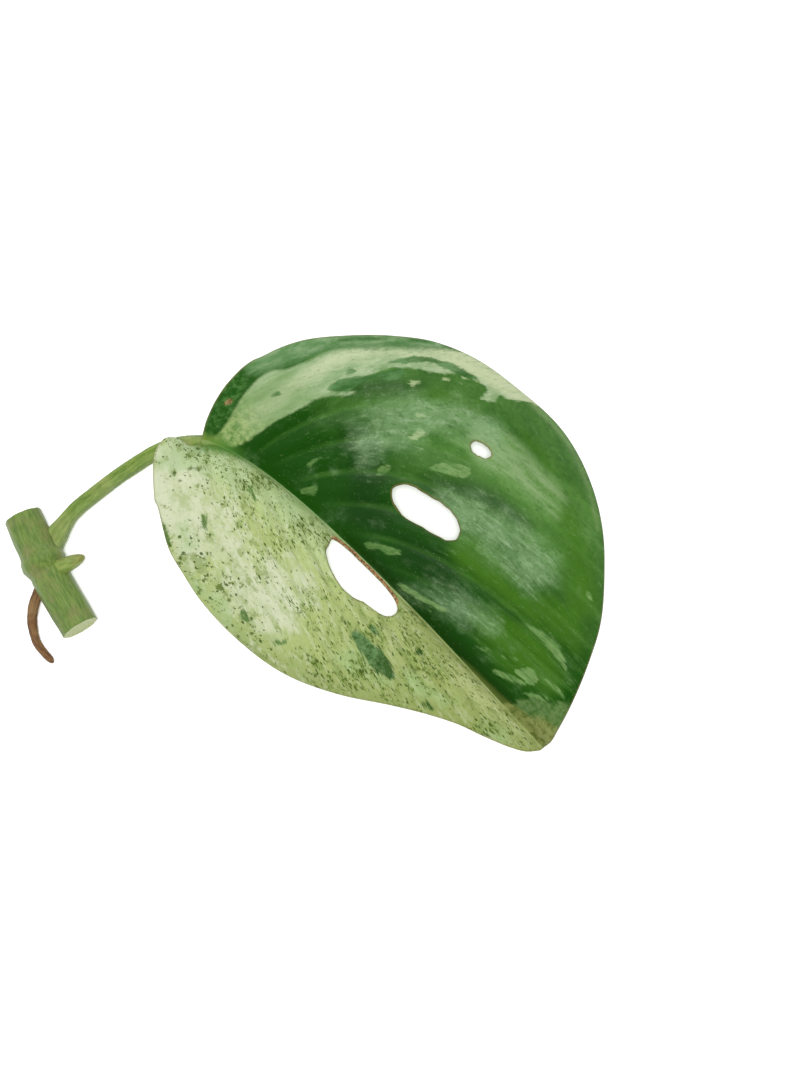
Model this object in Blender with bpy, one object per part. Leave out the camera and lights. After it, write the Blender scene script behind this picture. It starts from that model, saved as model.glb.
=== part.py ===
"""A scindapsus cutting lying on a table: one variegated leaf with three natural holes, its
petiole, and the short length of vine that was cut with it, with a bud and an aerial root.

Blender script, metres, +Z up. Dimensions below are in millimetres and become metres where a
mesh is made. The leaf is drawn flat first, as (x, y) millimetres: x runs along the midrib from
the petiole to the tip, y runs along the surface at right angles to it, positive on the dark
half and negative on the pale half. leaf_point then bends that flat leaf into its real shape.
"""

import math

import bmesh
import bpy
import numpy as np
from mathutils import Matrix, Vector
from mathutils.geometry import delaunay_2d_cdt

MM = 0.001

# The row frame's origin is the middle of the cutting's box, on the table.
BOX_MIDDLE = (28.299, -0.3675)

# Leaf blade
LEAF_LENGTH = 72.0
BLADE_THICKNESS = 0.65
MIDRIB_BOW = 3.5
BASE_HEIGHT = 4.57
MIDRIB_DIP = 2.0
TIP_DROOP = 1.65
LOBE_RISE = 0.35
KEEL_DEPTH = (1.5, 0.25)
KEEL_WIDTH = (1.5, 0.7)
MESH_STEP = 2.0
EDGE_STEP = 1.5
HOLE_STEP = 1.1

# Side veins, each named by where it would leave the midrib. Basal ones are below zero.
DARK_VEINS = (-40, -26, -14, -4, 7, 18, 31, 43, 54, 64, 76)
PALE_VEINS = (-34, -22, -11, 0, 11, 25, 39, 50, 60, 70, 80)
VEIN_SPREAD = 0.62
VEIN_CURL = 0.0009
VEIN_FAN = 12.0
QUILT_HEIGHT = 0.6

# Flat outline of each half, from the notch at the petiole round to the tip.
DARK_MARGIN = (
    (-0.9, 1.1), (-1.4, 3.4), (-1.7, 7.0), (-1.5, 11.0), (-0.4, 15.5), (3.0, 20.8),
    (8.1, 26.0), (13.6, 31.4), (18.3, 35.4), (24.4, 38.5), (31.3, 39.9), (38.0, 40.6),
    (43.4, 39.4), (49.2, 36.3), (54.3, 32.2), (58.8, 27.3), (63.8, 21.1), (67.1, 15.2),
    (69.9, 9.2), (71.7, 4.2), (72.4, 1.0),
)
PALE_MARGIN = (
    (-0.5, -1.3), (-1.3, -2.6), (-2.5, -2.5), (-3.8, -2.8), (-4.6, -3.8), (-4.7, -5.4),
    (-4.1, -7.6), (-2.8, -9.9), (-0.7, -12.8), (2.5, -16.9), (6.0, -20.4), (9.8, -22.4),
    (14.9, -24.4), (21.5, -25.4), (29.4, -25.0), (36.3, -23.1), (44.0, -19.1), (51.0, -14.3),
    (56.7, -10.6), (61.1, -8.1), (65.1, -6.3), (68.9, -4.3), (71.3, -2.3),
)

# The three natural holes, drawn flat.
HOLE_BESIDE_MIDRIB = (
    (25.5, -1.7), (26.8, -0.8), (30.0, -0.5), (34.0, -0.5), (37.6, -0.8), (40.1, -1.7),
    (41.3, -3.2), (40.9, -4.7), (38.8, -5.7), (35.3, -6.6), (31.8, -7.0), (28.6, -6.1),
    (26.2, -4.3),
)
HOLE_MIDDLE = (
    (27.9, 11.3), (28.3, 12.9), (29.8, 14.1), (33.0, 14.9), (36.1, 15.5), (38.3, 15.2),
    (39.9, 14.3), (40.3, 13.0), (39.4, 11.9), (37.8, 11.1), (34.8, 10.4), (31.8, 9.7),
    (29.5, 9.9),
)
HOLE_SMALL = (
    (32.1, 25.5), (32.3, 26.6), (33.2, 27.2), (34.8, 27.3), (35.5, 26.7), (35.4, 25.8),
    (34.4, 25.0), (33.1, 24.8),
)
HOLES = (HOLE_BESIDE_MIDRIB, HOLE_MIDDLE, HOLE_SMALL)

# Petiole, vine and root: routes of their centre lines in leaf millimetres, and radii.
PETIOLE_ROUTE = (
    (1.6, 1.0, 2.6), (-0.6, -0.3, 2.45), (-3.2, -2.6, 2.0), (-5.6, -6.4, 1.55), (-7.0, -11.5, 1.35),
    (-8.0, -17.0, 1.4), (-8.4, -22.0, 1.8), (-7.6, -26.6, 2.4), (-6.4, -30.4, 2.8),
)
PETIOLE_RADIUS = 1.25
KNEE_RADIUS = 1.5
KNEE_LENGTH = 6.5
SHEATH_RADIUS = 2.3
SHEATH_LENGTH = 9.0
STEM_ROUTE = ((-13.6, -27.6, 2.9), (-8.0, -30.0, 2.85), (-2.0, -32.2, 2.85), (5.4, -34.4, 2.95))
STEM_RADIUS = 3.0
NODE_SWELL = 0.55
NODE_AT = 0.40
NODE_WIDTH = 1.3
BUD_BASE = (-3.4, -29.9, 4.2)
BUD_TIP = (-1.4, -25.9, 5.3)
BUD_RADIUS = 1.35
ROOT_ROUTE = (
    (-4.0, -33.0, 2.2), (-3.2, -35.8, 1.7), (-1.6, -38.4, 1.1), (1.6, -40.6, 0.85), (5.6, -41.2, 0.8),
)
ROOT_RADIUS = (0.95, 0.55)
SEAT_GAP = 0.3


def clear_scene():
    for thing in list(bpy.data.objects):
        bpy.data.objects.remove(thing, do_unlink=True)


def smooth_step(value):
    value = np.clip(value, 0.0, 1.0)
    return value * value * (3.0 - 2.0 * value)


def closed_curve(points, step):
    """A smooth closed line through the points, with a corner about every step millimetres."""
    points = np.array(points, float)
    count = len(points)
    line = []
    for i in range(count):
        before, start, end, after = (points[(i + k) % count] for k in (-1, 0, 1, 2))
        parts = max(1, round(float(np.linalg.norm(end - start)) / step))
        for k in range(parts):
            t = k / parts
            line.append(cubic_between(before, start, end, after, t))
    return np.array(line)


def cubic_between(before, start, end, after, t):
    """Catmull-Rom curve between start and end."""
    return 0.5 * (
        2 * start
        + (end - before) * t
        + (2 * before - 5 * start + 4 * end - after) * t * t
        + (3 * start - before - 3 * end + after) * t**3
    )


def open_curve(points, step):
    """A smooth open line through the points, from the first to the last."""
    points = [np.array(p, float) for p in points]
    ends = [2 * points[0] - points[1], *points, 2 * points[-1] - points[-2]]
    line = []
    for i in range(1, len(ends) - 2):
        parts = max(1, round(float(np.linalg.norm(ends[i + 1] - ends[i])) / step))
        line += [cubic_between(*ends[i - 1 : i + 3], k / parts) for k in range(parts)]
    line.append(ends[-2])
    return np.array(line)


def vein_number(x, y):
    """Which side vein a flat point lies on, as the place where that vein leaves the midrib.
    Veins spread from the midrib and curl towards the tip; the basal ones fan from the petiole."""
    off = np.abs(y)
    start = x - VEIN_SPREAD * off - VEIN_CURL * off**3
    return np.where(start >= 0, start, VEIN_FAN * start / np.maximum(off, 1.0))


def quilt(x, y):
    """How far the blade puffs up between two side veins, in millimetres."""
    height = np.zeros_like(x)
    for half, veins in ((y >= 0, DARK_VEINS), (y < 0, PALE_VEINS)):
        place = np.interp(vein_number(x[half], y[half]), veins, range(len(veins)))
        height[half] = np.abs(np.sin(math.pi * place)) ** 0.8
    off = np.abs(y)
    fade = smooth_step((off - 1.5) / 7.0) * (1.0 - 0.6 * smooth_step((off - 14.0) / 24.0))
    return QUILT_HEIGHT * fade * height


def midrib_point(x):
    """The midrib's upper line: bowed towards the dark half and dipping to the table at the tip."""
    along = np.clip(x / LEAF_LENGTH, 0.0, 1.0)
    side = MIDRIB_BOW * np.sin(math.pi * along**0.545)
    height = BASE_HEIGHT - MIDRIB_DIP * smooth_step(x / 26.0)
    height = height - TIP_DROOP * smooth_step((x - 44.0) / 28.0)
    behind = np.minimum(x, 0.0)
    heading = math.radians(12.0)
    return np.stack(
        [
            0.985 * np.maximum(x, 0.0) + behind * math.cos(heading),
            side + behind * math.sin(heading),
            height - LOBE_RISE * behind,
        ],
        -1,
    )


def slope(x, off, dark):
    """The blade's slope across the leaf, in radians: up from the midrib's groove, over a
    crest, and down to the margin."""
    along = np.clip(x / LEAF_LENGTH, 0.0, 1.0)
    if dark:
        reach = 40.0 * (1.0 - 0.25 * along**3)
        groove = (10.0 + 24.0 * along) * np.exp(-((off / 3.4) ** 1.5))
        degrees = 26.0 - 58.0 * off / reach + groove
    else:
        reach = 29.0 * (1.0 - 0.30 * along**2)
        groove = 46.0 * np.exp(-off / 1.8) * (1.0 - 0.5 * along**4)
        degrees = 26.0 - 74.0 * off / reach + groove
    return np.radians(degrees)


def leaf_point(x, y, parts=64):
    """The upper surface at a flat point, in leaf millimetres: the slope added up from the
    midrib outwards, so that the blade bends without stretching."""
    x = np.asarray(x, float)
    y = np.asarray(y, float)
    across = np.zeros_like(x)
    rise = np.zeros_like(x)
    share = (np.arange(parts) + 0.5) / parts
    for half, dark in ((y >= 0, True), (y < 0, False)):
        off = np.abs(y[half])
        tilt = slope(x[half][:, None], off[:, None] * share[None, :], dark)
        across[half] = np.cos(tilt).mean(1) * y[half]
        rise[half] = np.sin(tilt).mean(1) * off
    turn = np.radians(np.interp(x, (-10.0, 0.0, LEAF_LENGTH), (9.0, 7.0, -8.0)))
    point = midrib_point(x)
    point[:, 0] -= np.sin(turn) * across
    point[:, 1] += np.cos(turn) * across
    point[:, 2] += rise + quilt(x, y)
    return point


def leaf_normal(x, y, reach=0.4):
    """The upward normal of the upper surface."""
    along = leaf_point(x + reach, y) - leaf_point(x - reach, y)
    over = leaf_point(x, y + reach) - leaf_point(x, y - reach)
    normal = np.cross(along, over)
    return normal / np.linalg.norm(normal, axis=1, keepdims=True)


def blade_depth(x, y):
    """Thickness of the blade, with the keel that the midrib makes on the underside."""
    along = np.clip(x / LEAF_LENGTH, 0.0, 1.0)
    depth = KEEL_DEPTH[0] + (KEEL_DEPTH[1] - KEEL_DEPTH[0]) * along
    width = KEEL_WIDTH[0] + (KEEL_WIDTH[1] - KEEL_WIDTH[0]) * along
    return BLADE_THICKNESS + depth * np.exp(-((y / width) ** 2))


def inside(points, loop):
    """Which flat points lie inside a closed line."""
    x, y = points[:, 0][:, None], points[:, 1][:, None]
    x0, y0 = loop[:, 0][None, :], loop[:, 1][None, :]
    x1, y1 = np.roll(x0, -1, 1), np.roll(y0, -1, 1)
    crosses = (y0 > y) != (y1 > y)
    with np.errstate(divide="ignore", invalid="ignore"):
        left = x < (x1 - x0) * (y - y0) / (y1 - y0) + x0
    return (crosses & left).sum(1) % 2 == 1


def fill_points(lines, loops, step):
    """An even triangular grid of flat points, clear of every line that the mesh must keep,
    and rows beside the midrib where the surface turns sharply."""
    outline = loops[0]
    low, high = outline.min(0), outline.max(0)
    rows = []
    for j, y in enumerate(np.arange(low[1], high[1], step * math.sqrt(0.75))):
        xs = np.arange(low[0] + 0.5 * step * (j % 2), high[0], step)
        rows.append(np.stack([xs, np.full_like(xs, y)], 1))
    grid = np.concatenate(rows)
    grid = grid[np.abs(grid[:, 1]) > 3.2]
    beside = np.arange(1.5, LEAF_LENGTH - 1.5, step)
    near = [np.stack([beside, np.full_like(beside, off)], 1) for off in (-2.4, -1.1, 1.1, 2.4)]
    grid = np.concatenate([grid, *near])
    kept = inside(grid, outline)
    for hole in loops[1:]:
        kept &= ~inside(grid, hole)
    marks = np.concatenate([line for line in lines])
    gap = np.linalg.norm(grid[:, None, :] - marks[None, :, :], axis=2).min(1)
    close = np.where(np.abs(grid[:, 1]) > 3.2, 0.55 * step, 0.5)
    return grid[kept & (gap > close)]


def flat_mesh():
    """The flat leaf as triangles: points, triangles, and the closed lines of its edges."""
    margin = closed_curve(DARK_MARGIN + PALE_MARGIN[::-1], EDGE_STEP)
    holes = [closed_curve(hole, HOLE_STEP) for hole in HOLES]
    loops = [margin, *holes]
    spine_x = np.arange(0.8, LEAF_LENGTH - 0.4, MESH_STEP)
    spine = np.stack([spine_x, np.zeros_like(spine_x)], 1)
    lines = [*loops, spine]
    points, edges, rims = [], [], []
    for line in lines:
        first = len(points)
        numbers = list(range(first, first + len(line)))
        points += [Vector(p) for p in line]
        if line is not spine:
            rims.append(numbers)
            edges += list(zip(numbers, numbers[1:] + numbers[:1]))
        else:
            edges += list(zip(numbers, numbers[1:]))
    points += [Vector(p) for p in fill_points(lines, loops, MESH_STEP)]
    made, _, faces, origin, _, _ = delaunay_2d_cdt(points, edges, [], 0, 1e-5)
    flat = np.array([tuple(p) for p in made])
    faces = np.array([face for face in faces if len(face) == 3])
    middle = flat[faces].mean(1)
    kept = inside(middle, margin)
    for hole in holes:
        kept &= ~inside(middle, hole)
    return flat, faces[kept]


def boundary_edges(faces):
    """The directed edges that only one triangle uses."""
    directed = np.concatenate([faces[:, [0, 1]], faces[:, [1, 2]], faces[:, [2, 0]]])
    known = {tuple(edge) for edge in directed.tolist()}
    return [(a, b) for a, b in known if (b, a) not in known]


def to_row(points):
    """Leaf millimetres to metres in the row frame."""
    points = np.array(points, float)
    points[:, 0] -= BOX_MIDDLE[0]
    points[:, 1] -= BOX_MIDDLE[1]
    return points * MM


def add_object(name, points, faces, material):
    """A mesh object from points in leaf millimetres."""
    mesh = bpy.data.meshes.new(name)
    mesh.from_pydata(to_row(points).tolist(), [], [list(map(int, f)) for f in faces])
    mesh.validate()
    thing = bpy.data.objects.new(name, mesh)
    bpy.context.scene.collection.objects.link(thing)
    shell = bmesh.new()
    shell.from_mesh(mesh)
    bmesh.ops.recalc_face_normals(shell, faces=shell.faces)
    shell.to_mesh(mesh)
    shell.free()
    mesh.materials.append(material)
    mesh.shade_smooth()
    mesh.set_sharp_from_angle(angle=math.radians(50.0))
    return thing


def leaf_blade(material):
    """The blade: both faces of the flat mesh bent into shape, and a strip round every edge."""
    flat, faces = flat_mesh()
    area = np.cross(flat[faces[:, 1]] - flat[faces[:, 0]], flat[faces[:, 2]] - flat[faces[:, 0]])
    faces = np.where((area > 0)[:, None], faces, faces[:, ::-1])
    used, numbers = np.unique(faces, return_inverse=True)
    flat, faces = flat[used], numbers.reshape(-1, 3)
    x, y = flat[:, 0], flat[:, 1]
    top = leaf_point(x, y)
    bottom = top - leaf_normal(x, y) * blade_depth(x, y)[:, None]
    count = len(top)
    sides = []
    for a, b in boundary_edges(faces):
        sides += [(b, a, a + count), (b, a + count, b + count)]
    shell = np.concatenate([faces, faces[:, ::-1] + count, np.array(sides)])
    return add_object("leaf_blade", np.concatenate([top, bottom]), shell, material)


def tube(name, line, radii, sides, material, flatten_at=None):
    """A round stalk along a line, with a radius for each point and plain cut ends."""
    line = np.array(line)
    radii = np.broadcast_to(radii, len(line))
    ahead = np.gradient(line, axis=0)
    ahead /= np.linalg.norm(ahead, axis=1, keepdims=True)
    side = np.cross(ahead, (0.0, 0.0, 1.0))
    side /= np.linalg.norm(side, axis=1, keepdims=True)
    up = np.cross(side, ahead)
    turns = 2.0 * math.pi * np.arange(sides) / sides
    rings = (
        line[:, None, :]
        + side[:, None, :] * (np.cos(turns)[None, :, None] * radii[:, None, None])
        + up[:, None, :] * (np.sin(turns)[None, :, None] * radii[:, None, None])
    )
    points = rings.reshape(-1, 3)
    faces = []
    for i in range(len(line) - 1):
        for k in range(sides):
            a, b = i * sides + k, i * sides + (k + 1) % sides
            faces.append((a, b, b + sides, a + sides))
    faces.append(tuple(range(sides))[::-1])
    faces.append(tuple(range((len(line) - 1) * sides, len(line) * sides)))
    return add_object(name, points, faces, material)


def lengths_along(line):
    """Distance from the start of a line to each of its points."""
    steps = np.linalg.norm(np.diff(line, axis=0), axis=1)
    return np.concatenate([[0.0], np.cumsum(steps)])


def petiole(material, grow=0.0, name="petiole"):
    """The leaf stalk: a swollen knee under the leaf, a slim stalk, and a widening sheath."""
    line = open_curve(PETIOLE_ROUTE, 1.3)
    along = lengths_along(line)
    line[0] += 2.0 * grow * (line[0] - line[1]) / np.linalg.norm(line[0] - line[1])
    knee = (KNEE_RADIUS - PETIOLE_RADIUS) * (1.0 - smooth_step((along - 3.0) / KNEE_LENGTH))
    left = along[-1] - along
    sheath = (SHEATH_RADIUS - PETIOLE_RADIUS) * (1.0 - smooth_step(left / SHEATH_LENGTH))
    return tube(name, line, PETIOLE_RADIUS + knee + sheath + grow, 14, material)


def stem(material, grow=0.0, name="stem"):
    """A short cut length of vine, with the swollen ring of its node."""
    line = open_curve(STEM_ROUTE, 0.9)
    share = lengths_along(line) / lengths_along(line)[-1]
    from_node = (share - NODE_AT) * lengths_along(line)[-1] / NODE_WIDTH
    swell = NODE_SWELL * np.exp(-(from_node**2))
    return tube(name, line, STEM_RADIUS + swell + grow, 22, material)


def bud(material):
    """The pointed bud in the angle between petiole and vine."""
    line = np.linspace(BUD_BASE, BUD_TIP, 7)
    share = np.linspace(0.0, 1.0, 7)
    radii = BUD_RADIUS * np.sqrt(1.0 - 0.97 * share**2)
    return tube("bud", line, radii, 12, material)


def aerial_root(material):
    """A short root from the underside of the node, lying on the table."""
    line = open_curve(ROOT_ROUTE, 0.9)
    share = np.linspace(0.0, 1.0, len(line))
    radii = ROOT_RADIUS[0] + (ROOT_RADIUS[1] - ROOT_RADIUS[0]) * share
    radii = radii * np.sqrt(1.0 - 0.8 * np.clip((share - 0.9) / 0.1, 0.0, 1.0) ** 2)
    return tube("aerial_root", line, radii, 10, material)


def boolean(thing, cutter, operation):
    """Applies one Boolean to the object's mesh and hides the other solid."""
    modifier = thing.modifiers.new(operation.lower(), "BOOLEAN")
    modifier.operation = operation
    modifier.object = cutter
    modifier.solver = "EXACT"
    graph = bpy.context.evaluated_depsgraph_get()
    mesh = bpy.data.meshes.new_from_object(thing.evaluated_get(graph))
    thing.modifiers.remove(modifier)
    thing.data = mesh


def discard(*things):
    for thing in things:
        bpy.data.objects.remove(thing, do_unlink=True)


def rest_flat(thing):
    """Cuts the solid off at the table, which leaves the small flat that it lies on."""
    shell = bmesh.new()
    shell.from_mesh(thing.data)
    parts = shell.verts[:] + shell.edges[:] + shell.faces[:]
    cut = bmesh.ops.bisect_plane(
        shell, geom=parts, plane_co=(0, 0, 0), plane_no=(0, 0, 1), clear_inner=True
    )
    rim = [part for part in cut["geom_cut"] if isinstance(part, bmesh.types.BMEdge)]
    bmesh.ops.holes_fill(shell, edges=rim)
    bmesh.ops.recalc_face_normals(shell, faces=shell.faces)
    shell.to_mesh(thing.data)
    shell.free()


def plain_material(name, colour, roughness):
    material = bpy.data.materials.new(name)
    material.use_nodes = True
    shader = material.node_tree.nodes["Principled BSDF"]
    shader.inputs["Base Color"].default_value = (*colour, 1.0)
    shader.inputs["Roughness"].default_value = roughness
    shader.inputs["Metallic"].default_value = 0.0
    return material


def main():
    clear_scene()
    leaf_green = plain_material("leaf_green", (0.10, 0.26, 0.06), 0.38)
    stalk_green = plain_material("stalk_green", (0.28, 0.36, 0.09), 0.45)
    vine_green = plain_material("vine_green", (0.22, 0.30, 0.08), 0.5)
    root_brown = plain_material("root_brown", (0.33, 0.20, 0.10), 0.75)

    blade = leaf_blade(leaf_green)
    stalk = petiole(stalk_green)
    vine = stem(vine_green)
    root = aerial_root(root_brown)

    shoot = bud(vine_green)
    boolean(vine, shoot, "UNION")
    rest_flat(vine)

    knee_seat = petiole(stalk_green, grow=SEAT_GAP, name="knee_seat")
    boolean(blade, knee_seat, "DIFFERENCE")
    vine_seat = stem(vine_green, grow=SEAT_GAP, name="vine_seat")
    boolean(stalk, vine_seat, "DIFFERENCE")
    boolean(root, vine_seat, "DIFFERENCE")
    discard(shoot, knee_seat, vine_seat)


main()
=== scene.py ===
# %% [markdown]
# # A scindapsus cutting, from outline to leaf skin
#
# This lesson dresses a small cutting: one variegated leaf with three natural holes, its stalk,
# and the short piece of vine that was cut with it. The solids are already made, and they come in
# as a fixed frame. We put a finer piece in the place of each solid, and then give it its skin.
# We start by loading the frame.

# %% The frame
import math
from types import SimpleNamespace

import bmesh
import bpy
import numpy as np
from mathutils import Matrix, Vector
from mathutils.geometry import delaunay_2d_cdt
from mathutils.kdtree import KDTree


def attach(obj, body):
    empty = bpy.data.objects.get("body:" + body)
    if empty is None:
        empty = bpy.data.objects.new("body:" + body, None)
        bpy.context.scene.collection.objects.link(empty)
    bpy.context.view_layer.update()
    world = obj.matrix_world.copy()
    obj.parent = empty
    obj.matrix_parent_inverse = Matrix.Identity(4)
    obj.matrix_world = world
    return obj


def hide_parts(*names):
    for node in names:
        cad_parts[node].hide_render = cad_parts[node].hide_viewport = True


MM = 0.001
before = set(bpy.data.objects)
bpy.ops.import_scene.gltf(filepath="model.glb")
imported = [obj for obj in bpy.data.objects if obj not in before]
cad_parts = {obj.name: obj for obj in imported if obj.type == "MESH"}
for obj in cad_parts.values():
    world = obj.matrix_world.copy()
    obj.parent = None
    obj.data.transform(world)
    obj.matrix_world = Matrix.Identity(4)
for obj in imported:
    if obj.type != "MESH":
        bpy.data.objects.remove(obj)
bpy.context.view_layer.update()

# %% [markdown]
# ## Camera
#
# The leaf lies down, so the camera looks down on it, a little from the side of the pale half. We
# could aim it by hand in the viewport. Writing it as an azimuth, an elevation and a distance is
# easier to repeat, and a long lens from 35 cm keeps the leaf's proportions undistorted.

# %% The camera
BOX_MIDDLE = (28.299, -0.3675)
PHOTO_SIZE = (800, 1065)
PIXELS_PER_MM = 6.4
CAMERA_TURN = math.radians(42.0)
CAMERA_HEIGHT = math.radians(78.0)
CAMERA_AWAY = 350.0
LEAF_MIDDLE = (35.0, 8.0, 4.0)
FRAME_SHIFT = (4.1, 20.1)
SENSOR_HEIGHT = 36.0
NEAREST_SEEN = 0.01


def place_camera():
    """Aims the camera at the leaf's middle, moved so that the leaf sits where the frame wants it."""
    back = Vector(
        (
            math.sin(CAMERA_TURN) * math.cos(CAMERA_HEIGHT),
            -math.cos(CAMERA_TURN) * math.cos(CAMERA_HEIGHT),
            math.sin(CAMERA_HEIGHT),
        )
    )
    right = Vector((math.cos(CAMERA_TURN), math.sin(CAMERA_TURN), 0.0))
    up = back.cross(right)
    aim = Vector(LEAF_MIDDLE) - Vector((*BOX_MIDDLE, 0.0))
    aim += up * (FRAME_SHIFT[1] / PIXELS_PER_MM) - right * (FRAME_SHIFT[0] / PIXELS_PER_MM)
    eye = bpy.data.objects.new("camera", bpy.data.cameras.new("camera"))
    bpy.context.scene.collection.objects.link(eye)
    eye.data.sensor_fit = "VERTICAL"
    eye.data.sensor_height = SENSOR_HEIGHT
    eye.data.lens = SENSOR_HEIGHT * PIXELS_PER_MM * CAMERA_AWAY / PHOTO_SIZE[1]
    eye.data.clip_start = NEAREST_SEEN
    eye.location = (aim + back * CAMERA_AWAY) * MM
    eye.rotation_euler = back.to_track_quat("Z", "Y").to_euler()
    bpy.context.scene.camera = eye
    return eye


camera = place_camera()
print("lens:", round(camera.data.lens, 2), "mm, at", [round(v, 3) for v in camera.location])

# %% [markdown]
# ## Floor and light
#
# A glossy leaf shows the lights it is under, so they help decide how waxy it looks. One small lamp
# would give it hard white spots. A wide soft panel beyond the leaf's far side adds a long dull
# sheen along its folds, over the sheen painted into the leaf's colour, and a pale world fills in the
# rest.

# %% The floor and the lights
FLOOR_GLOW = 0.3
FLOOR_REACH = 3.0
FLOOR_HEIGHT = -0.00002
ROOM_COLOUR = (0.95, 0.97, 1.0, 1.0)
ROOM_STRENGTH = 0.22


def soft_panel(name, turn, height, away, size, power, reflected=True):
    """A square area light that looks at the leaf. Turn is counted from the camera's own direction.
    A panel that isn't reflected still lights the leaf, and leaves no haze on its skin."""
    turn = CAMERA_TURN + math.radians(turn)
    height = math.radians(height)
    direction = Vector(
        (math.sin(turn) * math.cos(height), -math.cos(turn) * math.cos(height), math.sin(height))
    )
    lamp = bpy.data.lights.new(name, "AREA")
    lamp.shape = "SQUARE"
    lamp.size = size
    lamp.energy = power
    panel = bpy.data.objects.new(name, lamp)
    bpy.context.scene.collection.objects.link(panel)
    panel.location = direction * away
    panel.rotation_euler = direction.to_track_quat("Z", "Y").to_euler()
    panel.visible_glossy = reflected
    return panel


def plain_floor():
    """A pale floor far wider than the view, just under the cutting, so that no faces coincide.
    It glows a little, so that the holes look out on white."""
    mesh = bpy.data.meshes.new("floor")
    signs = ((-1, -1), (1, -1), (1, 1), (-1, 1))
    corners = [(x * FLOOR_REACH, y * FLOOR_REACH, FLOOR_HEIGHT) for x, y in signs]
    mesh.from_pydata(corners, [], [(0, 1, 2, 3)])
    floor = bpy.data.objects.new("floor", mesh)
    bpy.context.scene.collection.objects.link(floor)
    coat = bpy.data.materials.new("floor_white")
    coat.use_nodes = True
    shader = coat.node_tree.nodes["Principled BSDF"]
    shader.inputs["Base Color"].default_value = (0.96, 0.96, 0.96, 1.0)
    shader.inputs["Roughness"].default_value = 0.9
    shader.inputs["Specular IOR Level"].default_value = 0.0
    shader.inputs["Emission Color"].default_value = (1.0, 1.0, 1.0, 1.0)
    shader.inputs["Emission Strength"].default_value = FLOOR_GLOW
    mesh.materials.append(coat)
    return floor


plain_floor()
soft_panel("key_panel", turn=180.0, height=52.0, away=0.9, size=0.7, power=2.9)
soft_panel("side_panel", turn=-80.0, height=40.0, away=1.0, size=0.8, power=1.3)
soft_panel("top_panel", turn=0.0, height=78.0, away=1.2, size=0.28, power=10.5, reflected=False)
world = bpy.data.worlds.new("room")
world.use_nodes = True
world.node_tree.nodes["Background"].inputs["Color"].default_value = ROOM_COLOUR
world.node_tree.nodes["Background"].inputs["Strength"].default_value = ROOM_STRENGTH
bpy.context.scene.world = world
bpy.context.scene.view_settings.view_transform = "Standard"

# %% [markdown]
# ## Writing shader maths as Python
#
# A node tree for a variegated leaf has hundreds of small sums in it. Placing those nodes by hand is
# slow and hard to read back. Here a small class wraps an output socket, so that `1 - mask` or
# `mask * 0.5` adds the Math node for us, and a second class adds every other kind of node.

# %% A socket that does sums


class Wire:
    """A node's output, on which Python's operators add Math nodes."""

    def __init__(self, paint, socket):
        self.paint = paint
        self.socket = socket

    def __add__(self, other):
        return self.paint.math("ADD", self, other)

    def __sub__(self, other):
        return self.paint.math("SUBTRACT", self, other)

    def __rsub__(self, other):
        return self.paint.math("SUBTRACT", other, self)

    def __mul__(self, other):
        return self.paint.math("MULTIPLY", self, other)

    __radd__ = __add__
    __rmul__ = __mul__


# %% A paint box that adds nodes


class Paint:
    """One material's node tree, and the calls that add nodes to it."""

    def __init__(self, name):
        self.material = bpy.data.materials.new(name)
        self.material.use_nodes = True
        self.tree = self.material.node_tree
        self.tree.nodes.clear()

    def node(self, kind, settings, sockets, out=0):
        """Adds a node: first its settings, then a value or a link for each socket."""
        made = self.tree.nodes.new(kind)
        for name, value in settings.items():
            setattr(made, name, value)
        for key, value in sockets.items():
            if isinstance(value, Wire):
                self.tree.links.new(value.socket, made.inputs[key])
            else:
                made.inputs[key].default_value = value
        return Wire(self, made.outputs[out]) if made.outputs else None

    def math(self, operation, first, second=0.0):
        return self.node("ShaderNodeMath", {"operation": operation}, {0: first, 1: second})

    def field(self, name):
        """A number that the mesh stores at each of its points."""
        return self.node("ShaderNodeAttribute", {"attribute_name": name}, {}, out="Fac")

    def place(self, name):
        """A position that the mesh stores at each of its points."""
        return self.node("ShaderNodeAttribute", {"attribute_name": name}, {}, out="Vector")

    def rise(self, value, low, high):
        """Goes smoothly from 0 to 1 while the value goes from low to high."""
        settings = {"interpolation_type": "SMOOTHSTEP"}
        sockets = {"Value": value, "From Min": low, "From Max": high}
        return self.node("ShaderNodeMapRange", settings, sockets)

    def fall(self, value, low, high):
        """Goes smoothly from 1 to 0 while the value goes from low to high."""
        return 1 - self.rise(value, low, high)

    def noise(self, place, scale, detail=2.0, roughness=0.5):
        sockets = {"Vector": place, "Scale": scale, "Detail": detail, "Roughness": roughness}
        return self.node("ShaderNodeTexNoise", {}, sockets, out="Fac")

    def specks(self, place, scale):
        """Distance to the nearest of many scattered points."""
        sockets = {"Vector": place, "Scale": scale}
        return self.node("ShaderNodeTexVoronoi", {}, sockets, out="Distance")

    def stretch(self, place, amounts):
        settings = {"operation": "MULTIPLY"}
        return self.node("ShaderNodeVectorMath", settings, {0: place, 1: amounts}, out="Vector")

    def mix(self, amount, under, over):
        """Lays one colour over another."""
        settings = {"data_type": "RGBA"}
        return self.node("ShaderNodeMix", settings, {0: amount, 6: under, 7: over}, out=2)

    def bump(self, height, strength, distance):
        sockets = {"Strength": strength, "Distance": distance, "Height": height}
        return self.node("ShaderNodeBump", {}, sockets, out="Normal")

    def finish(self, shader_sockets):
        shader = self.node("ShaderNodeBsdfPrincipled", {}, shader_sockets)
        self.node("ShaderNodeOutputMaterial", {}, {"Surface": shader})
        return self.material


# %% Colours as they should look
ROOM_BRIGHTNESS = 1.22


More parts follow.
